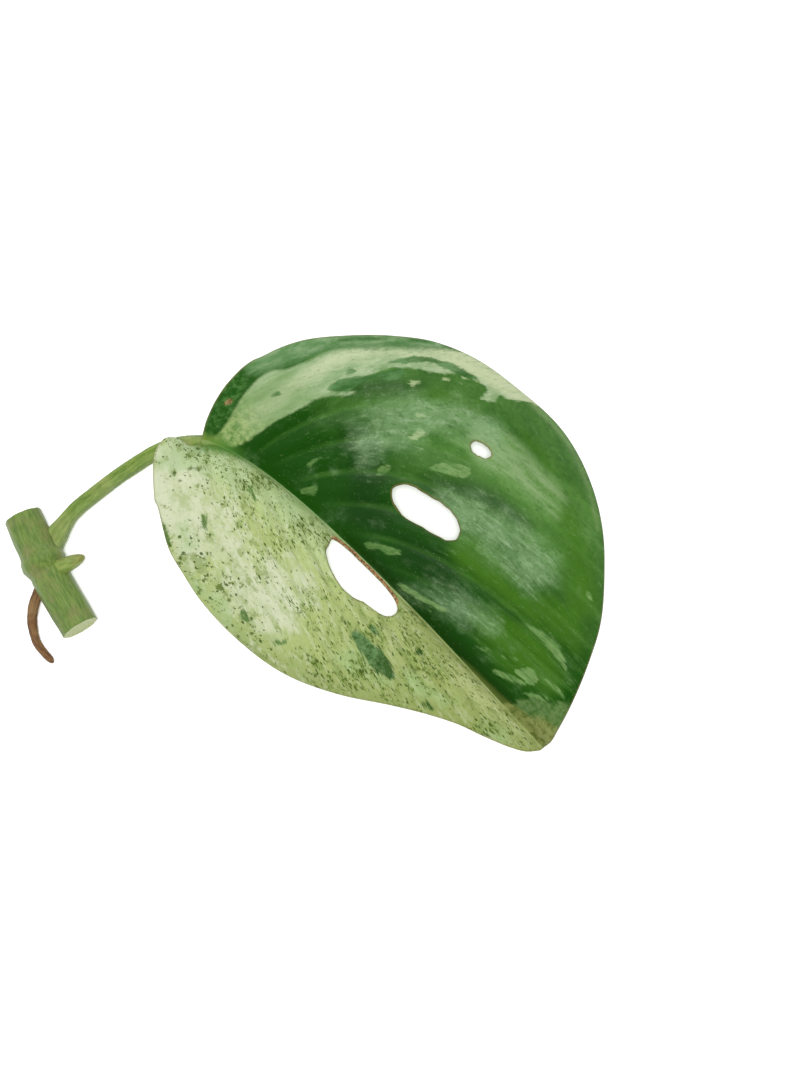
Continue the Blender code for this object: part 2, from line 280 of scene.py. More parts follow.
def ink(red, green, blue):
    """A colour as the finished picture should show it, 0 to 255, turned into the linear colour
    that a node needs under these lights, which show everything a little brighter."""
    shares = [value / 255.0 for value in (red, green, blue)]
    linear = [s / 12.92 if s <= 0.04045 else ((s + 0.055) / 1.055) ** 2.4 for s in shares]
    return (*[value / ROOM_BRIGHTNESS for value in linear], 1.0)


print("cream is", [round(value, 3) for value in ink(215, 225, 185)])

# %% [markdown]
# ## The leaf's shape
#
# The blade is a soft curved sheet: the midrib lies in a groove, each half rises over a crest and
# comes down to its margin, and the skin puffs up between the side veins. Sculpting would do, but
# then nothing could be measured. We draw the leaf flat in millimetres, fill it with small
# triangles, and bend it with nearly the same formulas as the solid, only with finer quilting.
# On the flat leaf x runs along the midrib and y across it.

# %% Flat outlines
LEAF_LENGTH = 72.0
DARK_MARGIN = (
    (-0.9, 1.1), (-1.4, 3.4), (-1.7, 7.0), (-1.5, 11.0), (-0.4, 15.5), (3.0, 20.8),
    (8.1, 26.0), (13.6, 31.4), (18.3, 35.4), (24.4, 38.5), (31.3, 39.9), (38.0, 40.6),
    (43.4, 39.4), (49.2, 36.3), (54.3, 32.2), (58.8, 27.3), (63.8, 21.1), (67.1, 15.2),
    (69.9, 9.2), (71.7, 4.2), (72.4, 1.0),
)
PALE_MARGIN = (
    (-0.5, -1.3), (-1.3, -2.6), (-2.5, -2.5), (-3.8, -2.8), (-4.6, -3.8), (-4.7, -5.4),
    (-4.1, -7.6), (-2.8, -9.9), (-0.7, -12.8), (2.5, -16.9), (6.0, -20.4), (9.8, -22.4),
    (14.9, -24.4), (21.5, -25.4), (29.4, -25.0), (36.3, -23.1), (44.0, -19.1), (51.0, -14.3),
    (56.7, -10.6), (61.1, -8.1), (65.1, -6.3), (68.9, -4.3), (71.3, -2.3),
)
HOLE_BESIDE_MIDRIB = (
    (25.5, -1.7), (26.8, -0.8), (30.0, -0.5), (34.0, -0.5), (37.6, -0.8), (40.1, -1.7),
    (41.3, -3.2), (40.9, -4.7), (38.8, -5.7), (35.3, -6.6), (31.8, -7.0), (28.6, -6.1),
    (26.2, -4.3),
)
HOLE_MIDDLE = (
    (27.9, 11.3), (28.3, 12.9), (29.8, 14.1), (33.0, 14.9), (36.1, 15.5), (38.3, 15.2),
    (39.9, 14.3), (40.3, 13.0), (39.4, 11.9), (37.8, 11.1), (34.8, 10.4), (31.8, 9.7),
    (29.5, 9.9),
)
HOLE_SMALL = (
    (32.1, 25.5), (32.3, 26.6), (33.2, 27.2), (34.8, 27.3), (35.5, 26.7), (35.4, 25.8),
    (34.4, 25.0), (33.1, 24.8),
)
print("outline points:", len(DARK_MARGIN) + len(PALE_MARGIN))

# %% Smooth lines through the outlines


def between(before, start, end, after, t):
    """Catmull-Rom curve between start and end."""
    return 0.5 * (
        2 * start
        + (end - before) * t
        + (2 * before - 5 * start + 4 * end - after) * t * t
        + (3 * start - before - 3 * end + after) * t**3
    )


def closed_curve(points, step):
    """A smooth closed line through the points, with a corner about every step millimetres."""
    points = np.array(points, float)
    line = []
    for i in range(len(points)):
        before, start, end, after = (points[(i + k) % len(points)] for k in (-1, 0, 1, 2))
        parts = max(1, round(float(np.linalg.norm(end - start)) / step))
        line += [between(before, start, end, after, k / parts) for k in range(parts)]
    return np.array(line)


def open_curve(points, step):
    """A smooth open line through the points, from the first to the last."""
    points = [np.array(p, float) for p in points]
    ends = [2 * points[0] - points[1], *points, 2 * points[-1] - points[-2]]
    line = []
    for i in range(1, len(ends) - 2):
        parts = max(1, round(float(np.linalg.norm(ends[i + 1] - ends[i])) / step))
        line += [between(*ends[i - 1 : i + 3], k / parts) for k in range(parts)]
    line.append(ends[-2])
    return np.array(line)


def wander(values, seed):
    """A smooth random line from about -1 to 1."""
    chance = np.random.default_rng(seed)
    total = np.zeros_like(values)
    for wave in range(1, 5):
        turn, pace = chance.uniform(0.0, 2.0 * math.pi), chance.uniform(0.7, 1.3)
        total += np.sin(values * pace * wave + turn) / wave
    return 0.6 * total


def torn_line(line, seed, depth=0.13):
    """The edge of a hole, nibbled a little in and out."""
    ahead = np.roll(line, -1, 0) - np.roll(line, 1, 0)
    ahead /= np.linalg.norm(ahead, axis=1, keepdims=True)
    turn = np.linspace(0.0, 2.0 * math.pi, len(line), endpoint=False)
    chance = np.random.default_rng(seed)
    nibble = sum(np.sin(wave * turn + chance.uniform(0.0, 6.3)) / wave**0.6 for wave in range(4, 19))
    return line + depth * 0.45 * nibble[:, None] * np.stack([ahead[:, 1], -ahead[:, 0]], 1)


SKIN_STEP = 0.45
margin_line = closed_curve(DARK_MARGIN + PALE_MARGIN[::-1], SKIN_STEP)
holes = (HOLE_BESIDE_MIDRIB, HOLE_MIDDLE, HOLE_SMALL)
hole_lines = [torn_line(closed_curve(hole, 0.3), seed) for seed, hole in enumerate(holes)]
print("margin points:", len(margin_line), "hole points:", [len(line) for line in hole_lines])

# %% Distances on the flat leaf


def smooth_step(value):
    value = np.clip(value, 0.0, 1.0)
    return value * value * (3.0 - 2.0 * value)


def inside(points, loop):
    """Which flat points lie inside a closed line."""
    x, y = points.T
    odd = np.zeros(len(points), bool)
    for (x0, y0), (x1, y1) in zip(loop, np.roll(loop, -1, 0)):
        if y0 != y1:
            odd ^= ((y0 > y) != (y1 > y)) & (x < (x1 - x0) * (y - y0) / (y1 - y0) + x0)
    return odd


def line_distance(points, line):
    """Distance from each flat point to a closed line."""
    nearest = np.full(len(points), np.inf)
    for start, step in zip(line, np.roll(line, -1, 0) - line):
        away = points - start
        share = np.clip(away @ step / (step @ step), 0.0, 1.0)
        gap = away - share[:, None] * step
        np.minimum(nearest, np.hypot(gap[:, 0], gap[:, 1]), out=nearest)
    return nearest


# %% Filling the flat leaf with triangles


def fill_leaf():
    """The flat leaf as small triangles: its points and faces, counter-clockwise."""
    spine_x = np.arange(0.4, LEAF_LENGTH - 0.2, SKIN_STEP)
    spine = np.stack([spine_x, np.zeros_like(spine_x)], 1)
    low, high = margin_line.min(0), margin_line.max(0)
    rows = []
    for j, y in enumerate(np.arange(low[1], high[1], SKIN_STEP * math.sqrt(0.75))):
        xs = np.arange(low[0] + 0.5 * SKIN_STEP * (j % 2), high[0], SKIN_STEP)
        rows.append(np.stack([xs, np.full_like(xs, y)], 1))
    grid = np.concatenate(rows)
    kept = inside(grid, margin_line)
    for hole in hole_lines:
        kept &= ~inside(grid, hole)
    grid = grid[kept]
    lines = [margin_line, *hole_lines, spine]
    marks = np.concatenate(lines)
    tree = KDTree(len(marks))
    for number, (x, y) in enumerate(marks):
        tree.insert((x, y, 0.0), number)
    tree.balance()
    clear = np.array([tree.find((x, y, 0.0))[2] > 0.55 * SKIN_STEP for x, y in grid])
    points, edges = [], []
    for line in lines:
        numbers = list(range(len(points), len(points) + len(line)))
        points += [Vector(p) for p in line]
        edges += list(zip(numbers, numbers[1:]))
        if line is not spine:
            edges.append((numbers[-1], numbers[0]))
    points += [Vector(p) for p in grid[clear]]
    made, _, faces, _, _, _ = delaunay_2d_cdt(points, edges, [], 0, 1e-5)
    flat = np.array([tuple(p) for p in made])
    faces = np.array([face for face in faces if len(face) == 3])
    middle = flat[faces].mean(1)
    kept = inside(middle, margin_line)
    for hole in hole_lines:
        kept &= ~inside(middle, hole)
    faces = faces[kept]
    area = np.cross(flat[faces[:, 1]] - flat[faces[:, 0]], flat[faces[:, 2]] - flat[faces[:, 0]])
    faces = np.where((area > 0)[:, None], faces, faces[:, ::-1])
    used, numbers = np.unique(faces, return_inverse=True)
    return flat[used], numbers.reshape(-1, 3)


leaf_flat, leaf_faces = fill_leaf()
print("flat leaf:", len(leaf_flat), "points,", len(leaf_faces), "triangles")

# %% [markdown]
# ## Bending it
#
# Side veins leave the midrib every 3 to 14 mm and turn towards the tip, and near the base they fan
# out from the stalk. If every point knows the number of the vein that it lies on, one number
# drives the quilting and the pale veins, and the same walk gives the markings their grain.

# %% The side veins
BASE_HEIGHT = 4.57
BLADE_THICKNESS = 0.65
DARK_VEINS = (-40, -26, -14, -4, 4.2, 7.0, 10.0, 13.8, 19.0, 25.0, 32.0, 41.0, 52.0, 64.0, 78.0)
PALE_VEINS = (-34, -22, -11, -3, 3.0, 7.5, 12.0, 17.5, 24.0, 32.0, 42.0, 54.0, 68.0, 82.0)
QUILT_HEIGHT = 0.66
QUILT_MEAN = 0.65
FAN = 12.0
BASE_SLOPE = 26.0
DARK_REACH, DARK_FALL = 40.0, 58.0
PALE_REACH, PALE_FALL = 29.0, 74.0
TURN_PLACES = (-10.0, 0.0, LEAF_LENGTH)
TURN_DEGREES = (9.0, 7.0, -8.0)
BOW, BOW_POWER, BOW_START = 3.5, 0.545, 0.002


def vein_lean(x, off, dark):
    """How far a side vein moves forward for each millimetre outwards. It turns towards the tip,
    more so further along the leaf, until it runs beside the margin."""
    if dark:
        return 0.045 * x + off * (np.maximum(x, 0.0) / 68.0) ** 4
    return 0.9 + 0.07 * x


def vein_start(x, y, parts=60):
    """Where the side vein through a flat point leaves the midrib: we walk back along it."""
    start = np.array(x, float)
    for half, dark in ((y >= 0, True), (y < 0, False)):
        here, off = start[half], np.abs(y[half])
        for k in range(parts):
            here = here - vein_lean(here, off * (1.0 - (k + 0.5) / parts), dark) * off / parts
        start[half] = here
    return start


def vein_place(x, y):
    """A number that is whole on each side vein and grows from the base to the tip."""
    off = np.abs(y)
    start = vein_start(x, y)
    number = np.where(start >= 0, start, FAN * start / np.maximum(off, 1.0))
    dark = np.interp(number, DARK_VEINS, range(len(DARK_VEINS)))
    pale = np.interp(number, PALE_VEINS, range(len(PALE_VEINS)))
    return np.where(y >= 0, dark, pale)


print("side veins:", len(DARK_VEINS), "on the dark half,", len(PALE_VEINS), "on the pale half")

# %% The blade's curves


def quilt_fade(y):
    """The height of the quilting: none on the midrib, most halfway out, less at the margin."""
    off = np.abs(y)
    fade = smooth_step((off - 1.5) / 7.0) * (1.0 - 0.6 * smooth_step((off - 14.0) / 24.0))
    return QUILT_HEIGHT * fade


def quilt(x, y):
    """How far the skin puffs up between two side veins."""
    return quilt_fade(y) * np.abs(np.sin(math.pi * vein_place(x, y))) ** 0.8


def midrib_point(x):
    """The midrib's upper line: bowed to one side, and down to the table at the tip."""
    along = np.clip(x / LEAF_LENGTH, 0.0, 1.0)
    height = BASE_HEIGHT - 2.0 * smooth_step(x / 26.0) - 1.65 * smooth_step((x - 44.0) / 28.0)
    behind = np.minimum(x, 0.0)
    heading = math.radians(12.0)
    ahead = 0.985 * np.maximum(x, 0.0) + behind * math.cos(heading)
    first, last = BOW_START**BOW_POWER, (1.0 + BOW_START) ** BOW_POWER
    bow = ((along + BOW_START) ** BOW_POWER - first) / (last - first)
    side = BOW * np.sin(math.pi * bow) + behind * math.sin(heading)
    return np.stack([ahead, side, height - 0.35 * behind], -1)


def slope(x, off, dark):
    """The blade's slope across the leaf: up from the groove, over a crest, down to the margin."""
    along = np.clip(x / LEAF_LENGTH, 0.0, 1.0)
    if dark:
        reach = DARK_REACH * (1.0 - 0.25 * along**3)
        groove = (10.0 + 24.0 * along) * np.exp(-((off / 3.4) ** 1.5))
        return np.radians(BASE_SLOPE - DARK_FALL * off / reach + groove)
    reach = PALE_REACH * (1.0 - 0.30 * along**2)
    groove = 46.0 * np.exp(-off / 1.8) * (1.0 - 0.5 * along**4)
    return np.radians(BASE_SLOPE - PALE_FALL * off / reach + groove)


def leaf_point(x, y, puffed=1.0, parts=64):
    """The upper surface: the slope added up from the midrib, so that nothing stretches.
    Where puffed is 0, the quilting is ironed out to its mean height."""
    across = np.zeros_like(x)
    rise = np.zeros_like(x)
    share = (np.arange(parts) + 0.5) / parts
    for half, dark in ((y >= 0, True), (y < 0, False)):
        off = np.abs(y[half])
        tilt = slope(x[half][:, None], off[:, None] * share[None, :], dark)
        across[half] = np.cos(tilt).mean(1) * y[half]
        rise[half] = np.sin(tilt).mean(1) * off
    turn = np.radians(np.interp(x, TURN_PLACES, TURN_DEGREES))
    point = midrib_point(x)
    point[:, 0] -= np.sin(turn) * across
    point[:, 1] += np.cos(turn) * across
    point[:, 2] += rise + puffed * quilt(x, y) + (1.0 - puffed) * QUILT_MEAN * quilt_fade(y)
    return point


def leaf_normal(x, y, puffed, reach=0.4):
    along = leaf_point(x + reach, y, puffed) - leaf_point(x - reach, y, puffed)
    over = leaf_point(x, y + reach, puffed) - leaf_point(x, y - reach, puffed)
    normal = np.cross(along, over)
    return normal / np.linalg.norm(normal, axis=1, keepdims=True)


def keel(x, y):
    """How far the midrib stands out under the leaf."""
    along = np.clip(x / LEAF_LENGTH, 0.0, 1.0)
    return (1.5 - 1.25 * along) * np.exp(-((y / (1.5 - 0.8 * along)) ** 2))


leaf_x, leaf_y = leaf_flat.T
rim_distance = line_distance(leaf_flat, margin_line)
hole_distance = np.min([line_distance(leaf_flat, line) for line in hole_lines], axis=0)
print("widest place is", round(float(rim_distance.max()), 1), "mm from the margin")

# %% [markdown]
# ## The skin, its thin edge and the ribs below
#
# A leaf is thick along its midrib and thin at its margin, and a knife-sharp or a square-cut edge
# gives a model away at once. So the upper face sinks a little towards every edge, one more ring of
# points rounds the rim, and the upper rim of each hole swells where the leaf once healed.

# %% The leaf blade's mesh
WRINKLE_HEIGHT = 0.07
HEALED_RIM = {"height": 0.13, "place": 0.35, "width": 0.4}
FLAT_MARGIN, MARGIN_RISE = 0.6, 4.0
SUNK, SUNK_AT_EDGE, EDGE_REACH = 0.12, 0.26, 2.2
KEEL_CLEARANCE = 1.6
RIM_STEP, RIM_BULGE = 0.2, 0.1


def rim_edges(faces):
    """The directed edges that only one triangle uses."""
    directed = np.concatenate([faces[:, [0, 1]], faces[:, [1, 2]], faces[:, [2, 0]]])
    known = {tuple(edge) for edge in directed.tolist()}
    return [(a, b) for a, b in known if (b, a) not in known]


def outward(flat, edges):
    """The flat direction away from the leaf at every rim point."""
    away = np.zeros_like(flat)
    for a, b in edges:
        dx, dy = flat[b] - flat[a]
        away[a] += (dy, -dx)
        away[b] += (dy, -dx)
    size = np.linalg.norm(away, axis=1, keepdims=True)
    return away / np.maximum(size, 1e-9)


def skin_relief(x, y):
    """The fine relief of the upper face: wrinkles between the veins and swollen hole rims."""
    start = vein_start(x, y)
    off = np.abs(y)
    inner = smooth_step(rim_distance / 3.0) * smooth_step(off / 3.0)
    ripple = wander(start * 2.2 + 0.4 * wander(off * 0.5, 3), 5) * wander(off * 0.45 + x * 0.2, 7)
    from_ridge = (hole_distance - HEALED_RIM["place"]) / HEALED_RIM["width"]
    healed = HEALED_RIM["height"] * np.exp(-(from_ridge**2))
    return WRINKLE_HEIGHT * inner * ripple + healed


def leaf_shell():
    """Both faces of the blade and its rounded rim, in leaf millimetres."""
    x, y = leaf_x, leaf_y
    puffed = smooth_step((rim_distance - FLAT_MARGIN) / MARGIN_RISE)
    solid_top = leaf_point(x, y, puffed)
    normal = leaf_normal(x, y, puffed)
    edge = np.minimum(rim_distance, hole_distance)
    thin = SUNK + SUNK_AT_EDGE * (1.0 - smooth_step(edge / EDGE_REACH))
    top = solid_top + normal * (skin_relief(x, y) - thin)[:, None]
    deep = keel(x, y) * smooth_step(hole_distance / KEEL_CLEARANCE)
    bottom = solid_top - normal * (BLADE_THICKNESS + deep)[:, None]
    edges = rim_edges(leaf_faces)
    away = outward(leaf_flat, edges)
    ring = sorted({a for a, _ in edges})
    place = {number: 2 * len(x) + i for i, number in enumerate(ring)}
    past_x, past_y = leaf_flat[ring].T + RIM_STEP * away[ring].T
    reach = leaf_point(past_x, past_y, puffed[ring]) - solid_top[ring]
    reach /= np.linalg.norm(reach, axis=1, keepdims=True)
    middle = 0.5 * (top[ring] + bottom[ring]) + RIM_BULGE * reach
    count = len(x)
    sides = []
    for a, b in edges:
        sides.append((b, a, place[a], place[b]))
        sides.append((place[b], place[a], a + count, b + count))
    faces = [*leaf_faces.tolist(), *(leaf_faces[:, ::-1] + count).tolist(), *sides]
    return np.concatenate([top, bottom, middle]), faces, ring


# %% Adding a piece to the frame


def to_frame(points):
    """Leaf millimetres to metres in the frame's own place."""
    return (np.array(points, float) - (*BOX_MIDDLE, 0.0)) * MM


def add_piece(name, points, faces, node):
    """A smooth mesh piece in the place of a solid."""
    mesh = bpy.data.meshes.new(name)
    mesh.from_pydata(to_frame(points).tolist(), [], [list(map(int, face)) for face in faces])
    mesh.validate()
    piece = bpy.data.objects.new(name, mesh)
    bpy.context.scene.collection.objects.link(piece)
    mesh.shade_smooth()
    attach(piece, "root")
    if node:
        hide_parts(node)
    return piece


def store(piece, name, values):
    """Keeps a number or a position at each point of the mesh, for its material."""
    values = np.asarray(values, np.float32)
    kind, word = ("FLOAT", "value") if values.ndim == 1 else ("FLOAT_VECTOR", "vector")
    piece.data.attributes.new(name, kind, "POINT").data.foreach_set(word, values.ravel())


shell_points, shell_faces, rim_ring = leaf_shell()
blade = add_piece("leaf_skin", shell_points, shell_faces, "leaf_blade")
print("leaf:", len(shell_points), "points,", len(shell_faces), "faces")

# %% [markdown]
# ## Where the markings lie
#
# The variegation is not a pattern that repeats. Cells with and without green divide in stripes
# from the midrib outwards, so each patch has its own outline with feathered ends. A noise alone
# never looks right. We draw the larger patches on the flat leaf and store how deep inside
# a patch each point is. The material later roughens those edges along the veins.

# %% Outlines of the patches on the dark half
CREAM_BAND = (
    (-0.3, 0.4), (3.0, 0.4), (4.3, 1.2), (5.5, 3.0), (6.7, 6.0), (8.8, 10.5), (10.5, 14.3),
    (12.2, 16.4), (14.3, 18.9), (11.2, 16.7), (11.0, 18.2), (13.8, 22.0), (15.8, 25.6),
    (18.9, 28.9), (20.7, 30.2), (23.0, 32.5), (25.9, 35.0), (28.5, 34.8), (28.5, 32.6),
    (30.5, 34.2), (30.1, 35.5), (32.0, 37.0), (33.5, 39.3), (35.5, 41.5), (30.0, 41.0),
    (24.5, 38.6), (19.0, 35.3), (15.7, 31.3), (13.4, 29.0), (9.8, 24.9), (7.3, 22.1),
    (6.0, 19.0), (4.0, 15.5), (2.5, 14.5), (1.6, 12.0), (1.1, 9.0), (1.2, 4.5), (0.6, 1.2),
)
GREY_MARGIN = (
    (-2.0, 13.8), (0.5, 13.0), (4.0, 16.5), (8.0, 22.5), (14.0, 28.5), (20.0, 35.5),
    (20.5, 39.0), (12.0, 33.5), (4.0, 26.0), (-2.0, 18.0),
)
DARK_STREAKS = (
    ((15.2, 26.2), (15.6, 27.6), (17.4, 30.4), (19.2, 32.2), (22.0, 33.9), (25.8, 35.5),
     (26.0, 35.0), (24.0, 33.2), (21.5, 32.4), (19.1, 30.8), (17.0, 28.3)),
    ((7.4, 23.8), (10.5, 27.0), (12.8, 29.4), (12.4, 29.8), (9.8, 27.3), (7.2, 24.6)),
    ((15.0, 31.6), (18.0, 34.6), (17.8, 35.2), (14.9, 32.4)),
    ((11.1, 16.6), (11.0, 18.1), (11.5, 19.4), (13.8, 22.0), (15.1, 24.0), (16.8, 26.9), (18.2, 26.4),
     (16.5, 23.5), (15.6, 23.4), (13.9, 19.6), (13.0, 18.0)),
    ((4.5, 10.8), (5.0, 12.2), (5.6, 12.0), (5.0, 10.6)),
    ((11.0, 20.6), (11.8, 22.0), (12.3, 21.8), (11.4, 20.4)),
)
LIGHT_PATCHES = (
    ((30.1, 17.4), (30.5, 19.2), (32.5, 21.5), (34.5, 22.4), (35.3, 21.2), (34.0, 19.6), (32.2, 18.7)),
    ((24.5, 11.3), (24.2, 12.6), (25.4, 13.8), (25.8, 12.9), (25.2, 11.9)),
    ((14.9, 5.1), (15.4, 6.5), (16.3, 8.3), (16.5, 7.9), (16.2, 6.6), (15.6, 5.2)),
    ((16.4, 1.2), (18.2, 3.9), (18.6, 3.5), (19.2, 3.2), (18.9, 2.5), (17.7, 1.5)),
    ((29.6, 2.2), (30.8, 3.5), (33.8, 5.0), (35.7, 5.8), (35.0, 4.4), (34.0, 3.2), (32.4, 3.0),
     (30.6, 1.6)),
    ((37.9, 1.1), (38.9, 2.0), (42.7, 3.2), (46.5, 4.3), (46.4, 3.4), (43.4, 2.4), (39.4, 1.0)),
    ((43.9, 1.5), (45.0, 2.4), (45.1, 1.8)),
    ((56.1, 11.6), (57.7, 12.5), (61.5, 13.3), (63.4, 13.1), (65.3, 12.1), (66.8, 10.6),
     (65.0, 11.6), (62.8, 11.8), (59.3, 11.7)),
    ((60.7, 5.3), (61.0, 6.5), (62.4, 8.0), (64.0, 7.6), (64.3, 6.3), (62.8, 5.7)),
    ((57.9, 2.6), (59.6, 4.2), (62.3, 5.4), (63.9, 6.5), (63.4, 5.2), (61.3, 3.8)),
    ((63.9, 8.2), (67.2, 8.8), (69.2, 8.6), (68.6, 8.1), (65.2, 7.9)),
    ((63.8, 3.9), (64.7, 5.2), (66.3, 6.1), (67.6, 6.1), (66.9, 5.3), (65.5, 4.7)),
    ((57.2, 5.5), (58.2, 6.1), (58.6, 5.7)),
    ((58.6, 6.6), (59.8, 7.3), (60.2, 6.9)),
    ((53.5, 3.6), (54.8, 4.6), (56.1, 5.1), (55.4, 4.1)),
    ((55.2, 8.1), (56.2, 8.9), (56.8, 8.7)),
    ((65.2, 5.9), (66.2, 6.7), (67.8, 6.6)),
    ((59.1, 22.4), (59.8, 22.8), (61.1, 21.8), (60.2, 21.8)),
)
CREAM_FLECKS = (
    ((21.5, 31.2), (22.1, 32.2), (22.7, 32.2), (22.3, 31.2)),
    ((21.8, 30.0), (22.2, 30.9), (23.4, 31.8), (23.7, 31.1), (22.6, 30.2)),
    ((24.0, 33.3), (25.0, 34.0), (26.5, 35.2), (26.6, 34.5), (25.3, 33.6), (24.5, 33.0)),
    ((24.4, 31.9), (25.0, 32.7), (25.6, 32.6), (25.0, 31.8)),
    ((19.1, 25.7), (19.6, 26.9), (20.6, 27.9), (20.8, 27.2), (19.8, 25.9)),
    ((16.8, 24.4), (17.6, 25.1), (17.5, 24.7)),
    ((23.8, 18.3), (24.8, 19.5), (24.8, 20.3), (25.0, 21.2), (26.0, 22.1), (26.6, 21.9), (26.1, 21.0),
     (25.7, 19.9), (24.9, 18.8)),
    ((22.8, 22.6), (23.4, 23.4), (24.8, 24.3), (24.4, 23.2), (23.6, 22.6)),
    ((25.6, 32.2), (26.3, 32.8), (26.5, 32.1)),
    ((26.8, 18.7), (27.2, 19.4), (27.8, 19.6), (27.4, 18.9)),
)
# Painted sheen: a lighter band just inside the far margin of the dark half.
PAINTED_MARGIN_SHEEN = (
    (34.0, 41.0), (40.0, 40.0), (45.0, 38.3), (50.0, 35.2), (54.0, 31.6), (53.6, 31.3),
    (49.4, 34.7), (44.6, 37.6), (39.6, 39.1), (34.0, 39.0),
)
TIP_OLIVE = (
    (64.0, -0.4), (64.4, 1.4), (67.2, 2.4), (69.0, 3.6), (71.5, 4.0), (74.0, 2.4), (73.0, -0.5),
)
TIP_GREY = (
    (64.2, 1.6), (65.3, 4.6), (66.8, 5.8), (68.3, 6.5), (69.6, 8.2), (72.0, 7.2), (73.4, 3.2),
    (71.4, 3.2), (69.1, 2.6), (66.5, 1.6),
)
OLIVE_STRIP = (
    (53.0, -0.4), (54.6, 0.5), (57.3, 0.9), (61.6, 1.2), (65.8, 2.0), (68.0, 1.4), (68.0, -0.4),
)
GLOW = (
    (31.8, 28.6), (35.3, 31.0), (40.7, 31.7), (45.7, 31.6), (48.6, 28.2), (46.8, 26.4),
    (39.8, 25.6), (34.7, 24.2), (31.7, 26.1),
)
# Painted sheen: outlines of the crests where a dull waxy reflection is painted on the dark half.
PAINTED_SHEEN_CRESTS = (
    ((18.4, 13.0), (18.8, 19.5), (23.7, 25.7), (28.9, 29.8), (33.9, 30.7), (33.7, 28.4), (29.7, 25.7),
     (25.6, 20.9), (23.6, 16.7), (22.0, 11.7)),
    ((31.2, 12.8), (33.1, 15.9), (37.8, 18.9), (44.1, 21.2), (50.1, 21.7), (54.5, 19.3), (53.6, 15.9),
     (47.8, 16.3), (40.9, 15.6), (36.0, 13.9)),
    ((40.6, 2.6), (43.0, 5.0), (47.5, 7.2), (53.5, 8.2), (51.0, 5.6), (46.0, 3.4)),
)
WARM_GREEN = (
    ((40.5, 12.0), (42.0, 15.2), (47.3, 15.4), (52.5, 15.0), (57.0, 17.0), (56.0, 13.0),
     (50.4, 11.5), (44.6, 10.4)),
    ((36.6, 33.3), (40.7, 33.7), (46.4, 31.8), (52.1, 28.8), (57.3, 25.4), (62.0, 20.0), (60.0, 17.0),
     (55.9, 22.5), (50.2, 26.2), (46.3, 28.9), (41.9, 31.0)),
    ((51.5, 11.4), (53.6, 15.9), (59.7, 18.4), (65.0, 15.3), (62.0, 14.1), (56.8, 12.8)),
    ((50.0, 7.0), (54.0, 10.5), (60.0, 12.0), (67.0, 10.0), (66.0, 7.0), (58.0, 5.0)),
    ((22.0, 27.5), (25.5, 30.2), (29.0, 31.5), (30.0, 30.0), (26.5, 28.8), (23.5, 26.5)),
)
# Painted shade: the dark bands between the crests of the dark half.
PAINTED_SHADE_BANDS = (
    ((15.8, 13.1), (20.9, 9.2), (23.2, 5.2), (26.0, 3.6), (31.3, 5.9), (31.0, 8.1), (28.1, 9.5),
     (26.7, 12.3), (24.1, 13.0), (20.7, 15.0), (17.8, 15.5)),
    ((30.7, 16.0), (32.8, 18.6), (35.7, 20.5), (40.7, 22.7), (46.2, 23.2), (44.5, 21.3), (39.4, 19.5),
     (33.7, 16.4)),
    ((33.0, 6.5), (38.0, 9.5), (44.0, 9.2), (48.0, 7.6), (44.0, 5.6), (38.0, 4.2)),
    ((13.5, 20.0), (17.0, 24.0), (21.0, 28.0), (22.0, 27.0), (18.0, 22.6), (14.5, 18.6)),
)
DARK_WEDGE = (
    (-0.1, 0.2), (0.5, 1.2), (1.0, 3.3), (1.1, 5.8), (0.9, 8.1), (0.9, 9.5), (1.0, 11.0), (0.0, 12.2),
    (-1.8, 12.6), (-2.6, 9.0), (-2.4, 4.0), (-1.6, 1.0),
)
SCAR = ((-0.6, 6.8), (0.2, 7.2), (0.3, 8.1), (-0.3, 8.2), (-0.6, 7.5))
BAND_STRIPE = (
    (3.2, 5.0), (4.1, 8.7), (5.7, 13.8), (7.2, 18.9), (9.3, 23.0), (12.9, 27.1), (18.0, 31.9),
    (22.5, 35.2), (28.2, 38.5), (28.6, 37.3), (23.1, 34.3), (18.5, 31.2), (13.4, 26.4),
    (10.0, 22.0), (8.4, 17.8), (6.7, 12.9), (5.0, 7.9), (4.0, 4.6),
)
print("light patches:", len(LIGHT_PATCHES), "streaks:", len(DARK_STREAKS), "flecks:", len(CREAM_FLECKS))

# %% Outlines of the patches on the pale half
GREEN_PATCHES = (
    ((38.7, -11.5), (38.6, -10.3), (40.9, -9.8), (44.4, -9.5), (47.7, -10.1), (48.4, -10.7),
     (48.0, -11.7), (44.6, -12.2), (41.2, -12.0)),
    ((54.5, -9.8), (56.6, -9.4), (56.6, -9.9), (54.6, -10.5)),
    ((47.6, -5.2), (48.4, -4.9), (48.9, -5.6), (48.0, -5.9)),
    ((39.9, -8.0), (41.2, -7.6), (42.0, -8.2), (40.6, -8.6)),
    ((7.0, -12.8), (7.7, -12.4), (8.8, -13.8), (9.1, -14.9), (8.3, -14.6)),
    ((2.5, -17.0), (3.0, -16.9), (5.7, -19.6), (5.2, -19.8)),
    ((10.1, -4.9), (10.6, -4.6), (12.6, -5.9), (12.1, -6.2)),
    ((21.6, -21.4), (22.3, -20.6), (23.6, -21.2), (22.8, -21.8)),
    ((29.4, -20.8), (31.0, -19.4), (31.3, -19.9), (29.9, -21.0)),
)
